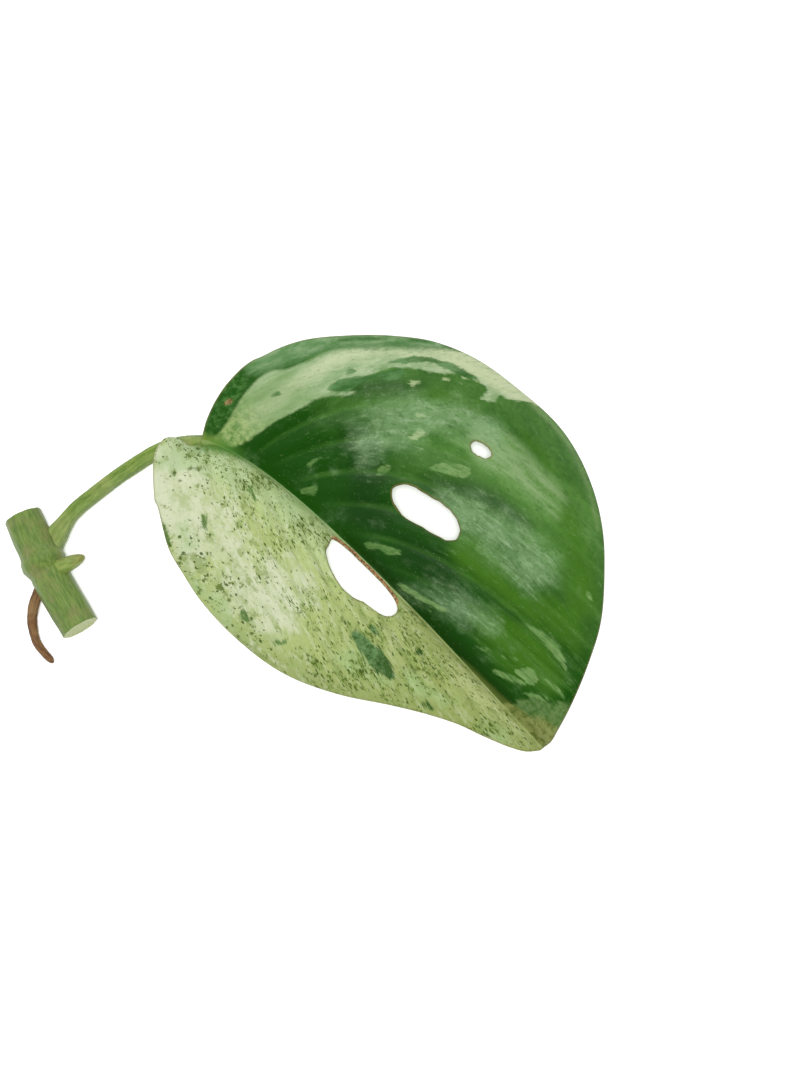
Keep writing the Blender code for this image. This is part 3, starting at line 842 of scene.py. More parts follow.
PALE_FLECKS = (
    (2.3, -6.6, 1.5, 0.8), (2.9, -5.6, 0.8, 0.5), (1.3, -7.0, 1.0, 0.6), (-0.3, -8.3, 1.5, 0.6),
    (1.2, -9.6, 0.9, 0.5), (4.4, -7.7, 0.7, 0.5), (3.9, -9.3, 1.1, 0.6), (6.2, -9.4, 0.8, 0.5),
    (8.0, -5.3, 0.8, 0.6), (11.5, -9.6, 0.8, 0.6), (13.5, -7.9, 0.7, 0.5), (7.6, -13.0, 1.1, 0.6),
    (14.6, -10.3, 1.7, 0.5), (9.3, -12.0, 1.1, 0.5), (13.2, -15.3, 1.2, 0.6), (15.6, -15.7, 0.8, 0.5),
    (19.0, -20.9, 1.2, 0.8), (16.5, -18.4, 0.7, 0.5), (21.9, -20.9, 1.1, 0.6), (24.0, -19.7, 0.8, 0.5),
    (31.2, -18.9, 0.7, 0.4), (33.7, -18.5, 0.8, 0.6), (29.8, -14.6, 1.2, 0.6), (36.9, -20.5, 0.7, 0.5),
    (26.4, -14.2, 0.9, 0.4), (50.0, -7.6, 1.1, 0.6), (45.7, -3.7, 0.9, 0.6), (45.7, -5.7, 1.3, 0.8),
    (35.8, -10.5, 1.4, 0.5), (42.7, -18.2, 0.7, 0.5), (57.8, -6.8, 0.9, 0.4), (59.0, -4.4, 0.9, 0.5),
    (53.9, -2.0, 0.8, 0.4), (67.5, -2.6, 1.0, 0.5), (39.6, -5.4, 0.8, 0.5), (22.5, -23.0, 0.8, 0.4),
)
CREAM_CLOUDS = (
    ((-2.8, -8.4), (0.6, -7.6), (5.4, -11.2), (9.9, -15.9), (9.8, -19.9), (4.3, -17.6), (-0.5, -12.6)),
    ((16.6, -14.9), (24.0, -10.8), (30.2, -13.6), (29.1, -18.6), (22.7, -20.9), (17.0, -19.4)),
    ((7.4, -9.9), (12.5, -10.1), (17.2, -14.3), (14.1, -15.8), (9.4, -13.4)),
)
GREEN_HAZE = (
    ((-3.2, -5.6), (-2.4, -2.2), (0.6, -1.6), (8.0, -2.6), (16.4, -2.0), (22.4, -2.4), (21.0, -4.6),
     (15.8, -5.8), (8.6, -6.6), (2.0, -7.2), (-2.4, -8.6)),
    ((39.5, -14.3), (40.4, -12.6), (44.8, -12.3), (48.0, -11.8), (47.5, -13.5), (43.3, -15.9),
     (40.5, -16.2)),
    ((4.7, -16.6), (6.0, -15.3), (8.9, -18.3), (7.3, -18.8)),
    ((16.0, -23.4), (17.8, -21.3), (20.6, -22.3), (21.0, -23.9), (18.3, -24.2)),
    ((12.0, -21.6), (13.8, -21.8), (15.0, -23.6), (12.2, -23.2)),
    ((50.0, -8.6), (54.0, -7.4), (58.0, -6.2), (57.0, -7.8), (52.0, -10.4)),
    ((63.5, -5.3), (66.9, -3.7), (66.9, -4.8), (64.9, -5.6)),
)
TIP_CREAM = (
    (54.7, -1.2), (58.1, -0.8), (62.7, -0.6), (67.8, -0.4), (69.5, -1.0), (65.2, -2.2), (60.3, -3.8),
    (55.7, -4.6), (52.0, -3.4),
)
print("green patches:", len(GREEN_PATCHES), "flecks:", len(PALE_FLECKS), "clouds:", len(CREAM_CLOUDS))

# %% Storing how deep each point lies in a patch
PALE_LEAN = math.radians(-51.0)


def lens(x, y, length, width):
    """The outline of a small fleck that lies along the veins of the pale half."""
    ahead = 0.5 * length * np.array([math.cos(PALE_LEAN), math.sin(PALE_LEAN)])
    aside = 0.5 * width * np.array([-math.sin(PALE_LEAN), math.cos(PALE_LEAN)])
    return (x, y) + np.array([-ahead, -aside, 0.8 * ahead - 0.2 * aside, aside])


def patch_depth(outlines, reach=3.0):
    """Millimetres inside the nearest outline, negative outside, for each flat point."""
    depth = np.full(len(leaf_flat), -reach)
    for outline in outlines:
        loop = closed_curve(outline, 0.6)
        near = ((leaf_flat > loop.min(0) - reach) & (leaf_flat < loop.max(0) + reach)).all(1)
        part = leaf_flat[near]
        gap = np.minimum(line_distance(part, loop), reach)
        depth[near] = np.maximum(depth[near], np.where(inside(part, loop), gap, -gap))
    return depth


def both_faces(values):
    """The same value on the upper face, the underside and the rim."""
    return np.concatenate([values, values, values[rim_ring]])


patch_layers = {
    "cream_band": (CREAM_BAND,),
    "grey_margin": (GREY_MARGIN,),
    "dark_streaks": DARK_STREAKS,
    "light_patches": LIGHT_PATCHES,
    "cream_flecks": CREAM_FLECKS,
    "painted_margin_sheen": (PAINTED_MARGIN_SHEEN,),
    "tip_olive": (TIP_OLIVE,),
    "tip_grey": (TIP_GREY,),
    "olive_strip": (OLIVE_STRIP,),
    "glow": (GLOW,),
    "green_patches": GREEN_PATCHES,
    "green_haze": GREEN_HAZE,
    "sheen": PAINTED_SHEEN_CRESTS,
    "warm_green": WARM_GREEN,
    "painted_shade_bands": PAINTED_SHADE_BANDS,
    "dark_wedge": (DARK_WEDGE,),
    "scar": (SCAR,),
    "band_stripe": (BAND_STRIPE,),
    "cream_clouds": CREAM_CLOUDS,
    "tip_cream": (TIP_CREAM,),
    "pale_flecks": [lens(*fleck) for fleck in PALE_FLECKS],
}
for layer, outlines in patch_layers.items():
    store(blade, layer, both_faces(patch_depth(outlines)))
print("layers:", len(patch_layers))

# %% [markdown]
# ## Where the grain runs
#
# Streaks, scratches and torn edges all follow the side veins. We store two numbers for each point:
# how far along the midrib its vein starts, and how far out it lies on that vein. Noise that reads
# them is drawn out along the veins. The first is squeezed towards the tip and the second towards
# the margin, which keeps features an even size. The cream band grows at a steeper angle, and has
# a grain of its own.

# %% Storing the grain and the distances
FAR_SIDE = 9.0
CORK_WIDTH = 0.42
off = np.abs(leaf_y)
from_vein = 16.0 * np.arcsinh(vein_start(leaf_x, leaf_y) / FAN)
along_vein = 4.0 * np.log1p(off / FAN) + 0.15 * leaf_x
zero = 0.0 * leaf_x
vein_number = vein_place(leaf_x, leaf_y)
away_from_midrib = smooth_step((-1.3 - leaf_y) / 1.2)
fields = {
    "grain": np.stack([from_vein, along_vein, FAR_SIDE * (leaf_y >= 0)], 1),
    "sector": np.stack([leaf_x - 0.6 * off, 0.22 * (off + 0.6 * leaf_x), zero], 1),
    "cork": CORK_WIDTH - line_distance(leaf_flat, hole_lines[0]) - 0.7 * away_from_midrib,
    "flat": np.stack([leaf_x, leaf_y, zero], 1),
    "off_vein": np.abs(vein_number - np.round(vein_number)),
    "across": leaf_y,
    "along": leaf_x,
    "rim_distance": rim_distance,
    "hole_distance": hole_distance,
}
for field, values in fields.items():
    store(blade, field, both_faces(values))
face_up = np.repeat((1.0, 0.0, 0.5), (len(leaf_x), len(leaf_x), len(rim_ring)))
store(blade, "face_up", face_up)
print("stored:", [item.name for item in blade.data.attributes if not item.is_internal])

# %% [markdown]
# ## The leaf's skin
#
# The upper skin is waxy: deep green with a dull grey sheen on one half, cream with dense green
# specks on the other. Painting a texture would fix its resolution. Node maths stays sharp at any
# distance: a base colour for each half, then one layer after another, each with its own mask.
# Some layers are painted light: the sheen, a few highlights, and shade in the groove and between
# the crests.

# %% Layers of the dark half


def dark_half(paint, skin):
    """Deep green, brighter outwards, with light patches and pale veins, painted shade in the groove
    and between the crests, and a scratched painted sheen.
    """
    along, across, flow, wisp = skin.along, skin.across, skin.flow, skin.wisp
    outer = paint.rise(across, 6.0, 27.0) * (1 - paint.rise(along, 46.0, 64.0) * 0.45)
    light = outer * 0.78 + (flow - 0.5) * (outer * 0.7 + 0.3) + (wisp - 0.5) * (outer * 0.6 + 0.4)
    light = light + (skin.mottle - 0.5) * (outer * 0.7 + 0.1)
    shade = paint.rise(across, 24.0, 31.0) * paint.fall(along, 40.0, 52.0)
    green = paint.mix(light - shade * 0.3 - 0.05 + outer * 0.1, ink(24, 76, 4), ink(92, 142, 62))
    soft = (flow - 0.5) * 5.0
    # Painted shade between the crests.
    deep = paint.rise(paint.field("painted_shade_bands") + soft, -2.2, 2.0)
    green = paint.mix(deep * 0.8, green, ink(20, 62, 10))
    warm = paint.rise(paint.field("warm_green") + soft, -2.0, 1.8)
    green = paint.mix(warm * 0.84, green, ink(68, 118, 24))
    glow = paint.rise(paint.field("glow") + soft, -1.6, 1.6)
    shine = paint.rise(skin.streak + (skin.grit - 0.5) * 0.6, 0.34, 0.66)
    glow_skin = paint.mix(shine, ink(108, 150, 78), ink(150, 180, 124))
    green = paint.mix(glow * 0.8, green, glow_skin)
    # Painted shade in the groove beside the midrib, deepening the skin's own dark green there.
    groove = paint.fall(across + (flow - 0.5) * 1.2, 0.4, 4.2) * paint.rise(along, 20.0, 36.0)
    green = paint.mix(groove * 0.85, green, ink(16, 58, 6))
    vein = paint.fall(skin.off_vein, 0.0, 0.14) * paint.rise(across, 1.0, 6.0)
    green = paint.mix(vein * (flow - 0.2) * 0.8, green, ink(92, 142, 60))

    strands = paint.rise(skin.fine_streak + (skin.mottle - 0.5) * 0.6, 0.38, 0.58) * 0.35 + 0.6
    patch_skin = paint.mix(paint.rise(skin.streak, 0.3, 0.7), ink(102, 146, 76), ink(132, 166, 98))
    dim = paint.fall(along, 30.0, 40.0) * paint.fall(across, 11.0, 16.0)
    patch_skin = paint.mix(dim * 0.6, patch_skin, ink(78, 120, 54))
    green = paint.mix(skin.patch("light_patches", 0.45, 0.2, 0.1) * strands, green, patch_skin)
    flecks = skin.patch("cream_flecks", 0.8, 0.22, 0.16) * (strands * 0.7 + 0.2)
    green = paint.mix(flecks, green, ink(184, 204, 148))
    # Painted sheen: a dull grey-green reflection laid over the crests, then scratched along the veins.
    painted_sheen = paint.rise(paint.field("sheen") + (flow - 0.5) * 7.0 + (wisp - 0.5) * 8.0, -2.8, 2.8)
    green = paint.mix(painted_sheen * (0.55 + (skin.mottle - 0.5) * 1.1), green, ink(136, 171, 120))
    scratch = paint.rise(skin.scratch + (skin.grit - 0.5) * 0.5, 0.46, 0.68)
    green = paint.mix(painted_sheen * scratch * 0.55, green, ink(168, 194, 152))
    outside = paint.rise(across, 3.0, 12.0)
    creases = paint.fall(skin.fine_streak + (skin.mottle - 0.5) * 0.3, 0.36, 0.46)
    green = paint.mix(creases * outside * 0.32, green, ink(46, 92, 34))
    threads = paint.rise(skin.scratch + (skin.grit - 0.5) * 0.4, 0.56, 0.7)
    return paint.mix(threads * outside * 0.22, green, ink(144, 178, 116))


# %% Layers of the cream band and the tip


def cream_sector(paint, skin, green):
    """The cream band, the grey-green margin beside it, and what is scattered in both."""
    along, across, strand, torn = skin.along, skin.across, skin.strand, skin.torn
    cream = paint.mix(paint.rise(strand, 0.36, 0.66), ink(146, 176, 122), ink(190, 208, 166))
    thready = paint.rise(skin.fine_strand + (skin.mottle - 0.5) * 0.6, 0.4, 0.62)
    cream = paint.mix(thready * 0.35, cream, ink(120, 156, 98))
    rib = paint.rise(paint.field("band_stripe") + torn * 0.6, -1.4, 0.7)
    cream = paint.mix(rib * (0.9 - thready * 0.35), cream, ink(206, 218, 174))
    far_edge = paint.rise(across, 31.0, 34.5) * paint.fall(skin.rim, 2.2, 4.6)
    cream = paint.mix(far_edge * (0.95 - thready * 0.4), cream, ink(208, 218, 174))
    depth = paint.field("cream_band")
    # Painted highlight along the lower edge of the cream band, near the base.
    lower_edge_highlight = paint.fall(depth, 0.1, 0.55) * paint.fall(across, 9.0, 14.0)
    cream = paint.mix(lower_edge_highlight * 0.5, cream, ink(180, 202, 150))
    low = paint.fall(across, 12.0, 20.0) * (0.7 - skin.mottle * 0.6)
    cream = paint.mix(low, cream, ink(118, 154, 84))
    green_base = paint.fall(across + along * 0.5, 3.0, 13.0)
    stipple = paint.mix(paint.rise(skin.mottle, 0.38, 0.6), ink(98, 140, 58), ink(172, 194, 120))
    cream = paint.mix(green_base * 0.8, cream, stipple)
    flecks = paint.rise(skin.fine_strand + (skin.mottle - 0.5) * 0.5, 0.64, 0.69)
    cream = paint.mix(flecks * 0.7, cream, ink(92, 130, 70))
    cloudy = paint.rise(strand + (skin.wisp - 0.5) * 0.9, 0.34, 0.66)
    cream = paint.mix((0.56 - skin.grit) * 0.5 + (0.5 - skin.mottle) * 0.4, cream, ink(108, 146, 88))
    raggedness = 0.45 + paint.rise(across, 16.0, 30.0) * 0.65
    green = paint.mix(skin.band("cream_band", raggedness, 0.3), green, cream)

    grey = paint.mix(cloudy, ink(94, 140, 80), ink(144, 174, 126))
    grey = paint.mix((0.6 - skin.grit) * 0.6, grey, ink(70, 118, 60))
    inner_edge = paint.fall(paint.field("grey_margin") + torn * 1.1, 0.0, 1.5)
    grey = paint.mix(inner_edge * (0.5 + skin.mottle * 0.5), grey, ink(70, 118, 60))
    green = paint.mix(skin.band("grey_margin", 0.8, 0.7) * 0.95, green, grey)
    wedge = paint.mix(paint.rise(skin.mottle, 0.4, 0.66), ink(34, 86, 18), ink(78, 124, 58))
    green = paint.mix(skin.band("dark_wedge", 0.4, 0.6), green, wedge)
    streaks = paint.mix(paint.rise(strand, 0.4, 0.6), ink(54, 104, 42), ink(94, 140, 80))
    green = paint.mix(skin.band("dark_streaks", 0.8, 0.2) * 0.9, green, streaks)
    # Painted sheen just inside the far margin.
    green = paint.mix(skin.patch("painted_margin_sheen", 0.5, 0.5) * 0.25, green, ink(160, 186, 118))
    scar = paint.mix(paint.rise(skin.mottle, 0.42, 0.6), ink(100, 74, 38), ink(164, 142, 96))
    green = paint.mix(skin.patch("scar", 0.25, 0.16), green, scar)
    olive = paint.mix(paint.rise(skin.mottle, 0.36, 0.58), ink(96, 112, 46), ink(148, 156, 90))
    green = paint.mix(skin.patch("olive_strip", 0.25, 0.6, 0.25) * 0.85, green, ink(96, 112, 50))
    grey = paint.mix(paint.rise(skin.mottle, 0.38, 0.6), ink(76, 114, 50), ink(110, 140, 80))
    green = paint.mix(skin.patch("tip_grey", 0.8, 0.5) * 0.85, green, grey)
    return paint.mix(skin.patch("tip_olive", 0.9, 0.5) * 0.9, green, olive)


# %% Layers of the pale half


def pale_half(paint, skin):
    """Cream clouds over yellow-green, with olive blots and dots that crowd together in places."""
    along, across, grain, flat = skin.along, skin.across, skin.grain, skin.flat
    lean = paint.stretch(grain, (1.0, 3.0, 1.0))
    drift = paint.noise(lean, 0.16, detail=6.0, roughness=0.72)
    left = paint.fall(along - across * 0.35, 4.0, 16.0)
    cloud = paint.rise(paint.field("cream_clouds") + (drift - 0.5) * 20.0 + left * 3.0, -3.0, 2.6)
    ground = paint.mix(cloud, ink(184, 200, 128), ink(214, 222, 186))
    ground = paint.mix(paint.rise(along, 23.0, 55.0) * 0.82, ground, ink(156, 170, 94))
    # Darker and greener towards the lower margin: partly the skin's colour, partly painted shade where
    # the blade turns away from the light.
    low_edge = paint.fall(skin.rim, 0.4, 5.5) * paint.rise(along, 12.0, 28.0)
    ground = paint.mix(low_edge * 0.55, ground, ink(146, 162, 92))
    bright_tip = paint.rise(paint.field("tip_cream") + (drift - 0.5) * 5.0, -1.0, 1.0)
    ground = paint.mix(bright_tip * 0.6, ground, ink(202, 212, 146))
    drawn = paint.stretch(grain, (1.0, 1.9, 1.0))
    smear = paint.rise(paint.noise(drawn, 0.55, detail=5.0, roughness=0.7), 0.44, 0.64)
    ground = paint.mix(smear * 0.6, ground, ink(162, 182, 112))
    milk = paint.rise(paint.noise(drawn, 0.9, detail=5.0, roughness=0.72) + left * 0.03, 0.5, 0.64)
    ground = paint.mix(milk * (0.65 - paint.rise(along, 22.0, 44.0) * 0.35), ground, ink(220, 226, 192))
    hazy = (drift - 0.5) * 8.0 + (skin.mottle - 0.5) * 5.0
    haze = paint.rise(paint.field("green_haze") + hazy, -1.0, 1.6)
    ground = paint.mix(haze * 0.5, ground, ink(168, 200, 138))
    # Lighter beside the midrib: partly the skin's colour, partly painted light on the slope there,
    # which catches less light.
    by_midrib = paint.fall(0 - across, 4.0, 9.0) * paint.fall(along, 26.0, 40.0)
    ground = paint.mix(by_midrib * 0.5, ground, ink(194, 214, 160))
    beside = paint.fall(0 - across, 0.4, 4.2) * paint.fall(along, 14.0, 32.0)
    fibres = paint.rise(skin.along_midrib, 0.4, 0.62) * 0.6 + 0.15
    ground = paint.mix(beside * fibres, ground, ink(128, 172, 98))
    ridge = paint.fall(0 - across, 0.1, 0.6) * paint.fall(along, 30.0, 44.0)
    ground = paint.mix(ridge * 0.6, ground, ink(142, 184, 104))
    basal = paint.fall(along * 0.42 - across + (skin.streak - 0.5) * 5.0, 2.2, 4.6)
    basal = basal * paint.rise(along + (skin.streak - 0.5) * 2.0, -1.2, 1.0)
    ground = paint.mix(basal * 0.85, ground, ink(90, 142, 60))

    crowd = (paint.noise(flat, 0.13, detail=3.0) - 0.5) * 0.34 + paint.rise(along, 16.0, 50.0) * 0.02
    crowd = crowd + haze * 0.02 - cloud * 0.018 + 0.008
    blots = paint.noise(lean, 0.5, detail=6.0, roughness=0.72) + crowd
    ground = paint.mix(paint.rise(blots, 0.545, 0.625) * 0.6, ground, ink(132, 154, 76))
    dots = paint.noise(lean, 0.9, detail=6.0, roughness=0.74) + crowd
    ground = paint.mix(paint.rise(dots, 0.6, 0.645) * 0.88, ground, ink(92, 116, 38))
    crumbs = paint.noise(lean, 1.6, detail=3.0, roughness=0.7) + crowd * 1.1
    ground = paint.mix(paint.rise(crumbs, 0.62, 0.66) * 0.9, ground, ink(72, 94, 24))
    seeds = paint.specks(lean, 0.9) + (skin.grit - 0.5) * 0.3 - crowd * 0.8
    ground = paint.mix(paint.fall(seeds, 0.1, 0.17) * 0.9, ground, ink(66, 90, 22))
    fleck_skin = paint.mix(paint.rise(skin.mottle, 0.4, 0.6), ink(56, 82, 14), ink(120, 142, 58))
    ground = paint.mix(skin.patch("pale_flecks", 0.3, 0.2) * 0.9, ground, fleck_skin)
    patch_light = skin.mottle - paint.rise(along, 42.0, 47.0) * 0.14
    patch_skin = paint.mix(paint.rise(patch_light, 0.36, 0.56), ink(38, 84, 24), ink(98, 138, 84))
    patch_skin = paint.mix(paint.fall(along, 26.0, 36.0) * 0.6, patch_skin, ink(88, 120, 40))
    scratches = paint.rise(skin.fine_streak, 0.62, 0.7) * 0.7
    patch_skin = paint.mix(scratches, patch_skin, ink(170, 192, 134))
    return paint.mix(skin.patch("green_patches", 0.9, 0.3) * 0.92, ground, patch_skin)


# %% The leaf's material


def leaf_skin_paint():
    paint = Paint("leaf_skin")
    skin = SimpleNamespace(grain=paint.place("grain"), flat=paint.place("flat"))
    skin.along, skin.across = paint.field("along"), paint.field("across")
    skin.rim, skin.off_vein = paint.field("rim_distance"), paint.field("off_vein")
    sector = paint.place("sector")
    skin.streak = paint.noise(paint.stretch(skin.grain, (1.0, 0.6, 1.0)), 1.4, 4.0, 0.65)
    skin.fine_streak = paint.noise(skin.grain, 3.0, 4.0, 0.7)
    skin.scratch = paint.noise(skin.grain, 2.2, 4.0, 0.78)
    skin.flow = paint.noise(paint.stretch(skin.grain, (0.3, 0.45, 1.0)), 1.0, 4.0, 0.6)
    skin.strand = paint.noise(paint.stretch(sector, (0.6, 0.8, 1.0)), 0.7, 5.0, 0.6)
    skin.fine_strand = paint.noise(sector, 2.2, 4.0, 0.7)
    skin.wisp = paint.noise(skin.flat, 0.22, 7.0, 0.68)
    skin.mottle = paint.noise(skin.flat, 0.9, 5.0, 0.7)
    skin.grit = paint.noise(skin.flat, 2.6, 5.0, 0.8)
    skin.along_midrib = paint.noise(paint.stretch(skin.flat, (0.12, 1.0, 1.0)), 2.6, 4.0, 0.65)
    ragged = (skin.streak - 0.5) * 2.6 + (skin.fine_streak - 0.5) * 1.6
    skin.torn = (skin.strand - 0.5) * 2.2 + (skin.fine_strand - 0.5) * 1.4

    def patch(name, rough, soft, inset=0.0):
        return paint.rise(paint.field(name) + ragged * rough, inset - soft, inset + soft)

    blurred = (skin.mottle - 0.5) * 1.4 + (skin.grit - 0.5) * 0.9

    def band(name, rough, soft):
        return paint.rise(paint.field(name) + skin.torn * rough + blurred * soft, -soft, soft)

    skin.patch, skin.band = patch, band
    dark = cream_sector(paint, skin, dark_half(paint, skin))
    pale = pale_half(paint, skin)
    along, across = skin.along, skin.across
    colour = paint.mix(paint.rise(across, -0.07, 0.07), pale, dark)
    middle = paint.fall(paint.math("ABSOLUTE", across), 0.3, 2.0)
    colour = paint.mix(paint.fall(along, 1.0, 8.0) * middle * 0.9, colour, ink(94, 144, 60))
    colour = paint.mix(paint.fall(along, -1.2, 3.4) * middle, colour, ink(122, 150, 66))

    specks = paint.fall(paint.specks(skin.flat, 1.9), 0.05, 0.11)
    colour = paint.mix(specks * 0.5, colour, ink(184, 202, 146))
    rim, hole = skin.rim, paint.field("hole_distance")
    colour = paint.mix(paint.fall(rim, 0.02, 0.2) * 0.35, colour, ink(140, 122, 84))
    colour = paint.mix(paint.fall(hole, 0.04, 0.22) * 0.55, colour, ink(136, 118, 70))
    in_space = paint.stretch(paint.node("ShaderNodeTexCoord", {}, {}, out="Object"), (1000.0,) * 3)
    crumbly = paint.noise(in_space, 2.4, detail=4.0, roughness=0.7)
    cork = paint.mix(paint.rise(crumbly, 0.4, 0.6), ink(96, 54, 30), ink(196, 154, 108))
    corky = paint.rise(paint.field("cork") + (crumbly - 0.5) * 0.6, -0.02, 0.12)
    colour = paint.mix(corky, colour, cork)

    up = paint.field("face_up")
    under = paint.mix(0.55, colour, ink(160, 182, 130))
    shown = paint.mix(paint.rise(up, 0.3, 0.7), under, colour)
    relief = skin.grit + skin.fine_streak * 0.9
    return paint.finish(
        {
            "Base Color": shown,
            "Roughness": 0.62 - up * 0.24 + (skin.grit - 0.5) * 0.3,
            "Normal": paint.bump(relief, 0.4, 0.0001),
            "Specular IOR Level": 0.18,
        }
    )


blade.data.materials.append(leaf_skin_paint())
print("leaf material:", len(blade.data.materials[0].node_tree.nodes), "nodes")

# %% [markdown]
# ## Stalk, vine and root
#
# Three round pieces, and none of them a plain tube. The stalk has a channel along its upper side
# and a swollen knee under the leaf. The vine has a ring at its node and two fresh cuts. The root
# is wrinkled and tapers. One function sweeps a ring along a line, and a table of radii, one for
# each point of each ring, gives every piece its own relief.

# %% Sweeping a stalk
PETIOLE_ROUTE = (
    (6.0, 2.3, 2.7), (3.6, 1.85, 3.1), (1.4, 1.0, 3.25), (-0.7, -0.4, 3.0), (-3.2, -2.6, 2.15),
    (-5.6, -6.4, 1.55), (-7.0, -11.5, 1.35), (-8.0, -17.0, 1.4), (-8.4, -22.0, 1.8),
    (-7.6, -26.6, 2.4), (-6.4, -30.4, 2.8),
)
MIDRIB_PART = 7.3
STEM_ROUTE = ((-13.6, -27.6, 2.9), (-8.0, -30.0, 2.85), (-2.0, -32.2, 2.85), (5.4, -34.4, 2.95))
ROOT_ROUTE = (
    (-4.0, -33.0, 2.2), (-3.2, -35.8, 1.7), (-1.6, -38.4, 1.1), (1.6, -40.6, 0.85), (5.6, -41.2, 0.8),
)


def lengths_along(line):
    steps = np.linalg.norm(np.diff(line, axis=0), axis=1)
    return np.concatenate([[0.0], np.cumsum(steps)])


def round_about(sides):
    """The angle of each point of a ring."""
    return 2.0 * math.pi * np.arange(sides) / sides


def bump_at(value, middle, width):
    """1 at the middle, and nothing a few widths away from it."""
    return np.exp(-(((value - middle) / width) ** 2))


def sweep(line, radii, ends=((0.9, 0.0), (0.5, 0.0), (0.0, 0.0))):
    """Rings along a line. radii has a row for each ring and a column for each of its points.
    ends closes both ends with smaller rings: their share of the radius, and how far they stand out."""
    count, sides = radii.shape
    ahead = np.gradient(line, axis=0)
    ahead /= np.linalg.norm(ahead, axis=1, keepdims=True)
    side = np.cross(ahead, (0.0, 0.0, 1.0))
    side /= np.linalg.norm(side, axis=1, keepdims=True)
    over = np.cross(side, ahead)
    angle = round_about(sides)
    aside, above = np.cos(angle)[None, :, None], np.sin(angle)[None, :, None]
    spread = side[:, None, :] * aside + over[:, None, :] * above
    rings = line[:, None, :] + spread * radii[:, :, None]
    along = lengths_along(line)
    rows = list(rings)
    fibre = [(along[i], radii[i], 0.0) for i in range(count)]
    for share, out in ends:
        rows.append(line[-1] + spread[-1] * (radii[-1] * share)[:, None] + ahead[-1] * out)
        fibre.append((along[-1], radii[-1] * share, 1.0))
        rows.insert(0, line[0] + spread[0] * (radii[0] * share)[:, None] - ahead[0] * out)
        fibre.insert(0, (along[0], radii[0] * share, 1.0))
    points = np.concatenate(rows)
    faces = []
    for i in range(len(rows) - 1):
        for k in range(sides):
            a, b = i * sides + k, i * sides + (k + 1) % sides
            faces.append((a, b, b + sides, a + sides))
    coordinates = np.concatenate(
        [np.stack([np.full(sides, s), r * np.cos(angle), r * np.sin(angle)], 1) for s, r, _ in fibre]
    )
    cut = np.concatenate([np.full(sides, c) for _, _, c in fibre])
    return points, faces, coordinates, cut


def add_stalk(name, swept, node):
    """A swept piece, kept above the table, with its end points joined and its fibre stored."""
    points, faces, coordinates, cut = swept
    points[:, 2] = np.maximum(points[:, 2], 0.0)
    piece = add_piece(name, points, faces, node)
    store(piece, "fibre", coordinates)
    store(piece, "cut", cut)
    shell = bmesh.new()
    shell.from_mesh(piece.data)
    bmesh.ops.remove_doubles(shell, verts=shell.verts, dist=1e-7)
    bmesh.ops.recalc_face_normals(shell, faces=shell.faces)
    shell.to_mesh(piece.data)
    shell.free()
    return piece


# %% The petiole
PETIOLE_RADIUS = 1.25
KNEE_SWELL, KNEE_LENGTH = 0.25, 6.5
SHEATH_SWELL, SHEATH_LENGTH = 1.0, 9.0


def petiole_radii(line, sides):
    left = lengths_along(line)[-1] - lengths_along(line)
    along = lengths_along(line) - MIDRIB_PART
    angle = round_about(sides)
    knee = KNEE_SWELL * (1.0 - smooth_step((along - 3.0) / KNEE_LENGTH))
    sheath = SHEATH_SWELL * (1.0 - smooth_step(left / SHEATH_LENGTH))
    size = PETIOLE_RADIUS + knee + sheath
    size = size * (0.22 + 0.78 * smooth_step(1.0 + along / MIDRIB_PART))
    from_top = np.abs(np.angle(np.exp(1j * (angle - math.radians(90.0)))))
    open_part = smooth_step((along - 4.0) / 5.0)[:, None] * smooth_step(left / 2.0)[:, None]
    channel = -0.34 * bump_at(from_top, 0.0, 0.42) + 0.13 * bump_at(from_top, 0.75, 0.2)
    ribs = 0.025 * np.cos(11.0 * angle) + 0.012 * np.cos(23.0 * angle + 1.0)
    bent = 0.03 * wander(along[:, None] * 0.8 + 2.0 * np.cos(angle)[None, :], 11)
    creases = 0.03 * np.sin(along * 9.0)[:, None] * (1.0 - smooth_step((along - 3.0) / 4.0))[:, None]
    shape = (1.0 + open_part * channel[None, :]) * (1.0 + ribs[None, :])
    return size[:, None] * shape * (1.0 + bent + creases)


petiole_line = open_curve(PETIOLE_ROUTE, 0.25)
petiole_tube = sweep(petiole_line, petiole_radii(petiole_line, 56))
petiole = add_stalk("petiole_stalk", petiole_tube, "petiole")
print("petiole:", len(petiole.data.polygons), "faces,", round(lengths_along(petiole_line)[-1], 1), "mm")

# %% The vine, with its node
VINE_RADIUS = 3.0
NODE_SHARE, NODE_WIDTH = 0.40, 1.3


def vine_radii(line, sides):
    along = lengths_along(line)
    angle = round_about(sides)
    from_node = (along - NODE_SHARE * along[-1]) / NODE_WIDTH
    ring = 0.55 * bump_at(from_node, 0.0, 1.0) - 0.10 * bump_at(from_node, 1.4, 0.3)
    scar = 0.09 * bump_at(from_node, -0.7, 0.16) + 0.07 * bump_at(from_node, 0.3, 0.14)
    ribs = 0.05 * np.cos(9.0 * angle + 0.7) + 0.03 * np.cos(17.0 * angle)
    bent = 0.05 * wander(along[:, None] * 0.5 + 1.5 * np.sin(angle)[None, :], 13)
    return VINE_RADIUS + (ring + scar)[:, None] + ribs[None, :] + bent


vine_line = open_curve(STEM_ROUTE, 0.25)
cut_ends = ((0.96, 0.05), (0.86, 0.02), (0.6, -0.08), (0.3, -0.05), (0.0, -0.02))
vine = add_stalk("vine_piece", sweep(vine_line, vine_radii(vine_line, 72), cut_ends), "stem")
print("vine:", len(vine.data.polygons), "faces,", round(lengths_along(vine_line)[-1], 1), "mm")

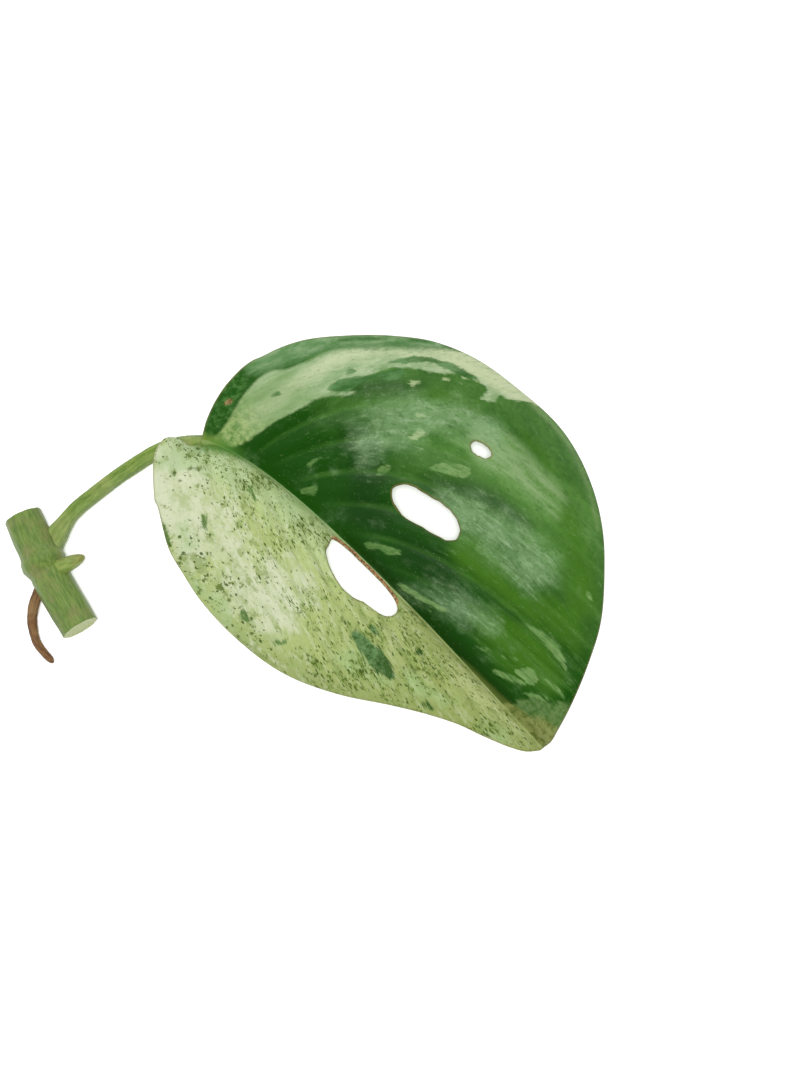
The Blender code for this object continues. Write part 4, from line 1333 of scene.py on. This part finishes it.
# %% The bud in the petiole's angle
BUD_BASE = (-3.4, -29.9, 4.2)
BUD_TIP = (-1.4, -25.9, 5.3)
BUD_RADIUS = 1.35


def bud_radii(line, sides):
    share = np.linspace(0.0, 1.0, len(line))
    angle = round_about(sides)
    size = BUD_RADIUS * np.sqrt(1.0 - 0.985 * share**2)
    fold = 0.10 * smooth_step((np.sin(angle[None, :] + 2.4 * share[:, None]) - 0.2) / 0.25)
    return size[:, None] * (0.92 + fold)


bud_line = np.linspace(BUD_BASE, BUD_TIP, 26)
bud = add_stalk("vine_bud", sweep(bud_line, bud_radii(bud_line, 40)), None)
print("bud:", len(bud.data.polygons), "faces")

# %% The aerial root
ROOT_RADIUS, ROOT_TAPER = 0.95, 0.40


def root_radii(line, sides):
    along = lengths_along(line)
    share = along / along[-1]
    angle = round_about(sides)
    size = ROOT_RADIUS - ROOT_TAPER * share
    size = size * np.sqrt(1.0 - 0.9 * np.clip((share - 0.9) / 0.1, 0.0, 1.0) ** 2)
    wrinkle = 0.05 * wander(along[:, None] * 2.6 + 1.2 * np.cos(angle)[None, :], 17)
    ribs = 0.05 * np.cos(7.0 * angle[None, :] + 0.6 * along[:, None])
    return size[:, None] * (1.0 + wrinkle + ribs)


root_line = open_curve(ROOT_ROUTE, 0.16)
root = add_stalk("aerial_root_skin", sweep(root_line, root_radii(root_line, 28)), "aerial_root")
print("root:", len(root.data.polygons), "faces")

# %% [markdown]
# ## Finishes of the stalks
#
# Stalk and vine are olive green with fine pale fibres along them, and the vine's cuts show its
# moist pale pith, speckled. The root is dry and brown. They share one recipe: fibre
# noise stretched along the piece, dots for the pores, and a mask where the knife went.

# %% Stalk, vine and root materials


def stalk_paint(name, dark, light, fleck, roughness, cut=None, leaf_end=None):
    paint = Paint(name)
    fibre = paint.place("fibre")
    drawn = paint.stretch(fibre, (0.18, 1.0, 1.0))
    strand = paint.noise(drawn, 3.2, detail=4.0, roughness=0.65)
    cloud = paint.noise(fibre, 0.35, detail=2.0)
    colour = paint.mix(paint.rise(strand, 0.35, 0.65), dark, light)
    colour = paint.mix(paint.rise(cloud, 0.45, 0.7) * 0.4, colour, fleck)
    pores = paint.fall(paint.specks(paint.stretch(fibre, (0.5, 1.0, 1.0)), 1.3), 0.06, 0.14)
    colour = paint.mix(pores * 0.6, colour, fleck)
    if leaf_end:
        along = paint.node("ShaderNodeSeparateXYZ", {}, {"Vector": fibre}, out="X")
        near_leaf = paint.fall(along, 0.3 * MIDRIB_PART, 1.2 * MIDRIB_PART)
        colour = paint.mix(near_leaf, colour, leaf_end)
    if cut:
        grit = paint.noise(fibre, 4.5, detail=2.0)
        pith = paint.mix(paint.rise(grit, 0.45, 0.6), cut[0], cut[1])
        colour = paint.mix(paint.rise(paint.field("cut"), 0.6, 0.95), colour, pith)
    rough = roughness + (strand - 0.5) * 0.3
    bump = paint.bump(strand + pores * 0.3, 0.5, 0.00012)
    return paint.finish({"Base Color": colour, "Roughness": rough, "Normal": bump})


LEAF_END = ink(92, 144, 60)
PITH = (ink(196, 204, 140), ink(150, 168, 92))
petiole_inks = (ink(104, 134, 54), ink(138, 162, 76), ink(170, 176, 110))
vine_inks = (ink(92, 124, 50), ink(128, 152, 72), ink(150, 138, 90))
bud_inks = (ink(118, 146, 62), ink(160, 178, 96), ink(150, 120, 72))
root_inks = (ink(98, 68, 40), ink(140, 104, 66), ink(176, 146, 100))
finishes = (
    (petiole, "petiole_skin", *petiole_inks, 0.45, None, LEAF_END),
    (vine, "vine_skin", *vine_inks, 0.5, PITH),
    (bud, "bud_skin", *bud_inks, 0.42),
    (root, "root_skin", *root_inks, 0.8),
)
for piece, *finish in finishes:
    piece.data.materials.append(stalk_paint(*finish))
print("materials:", [item.name for item in bpy.data.materials])
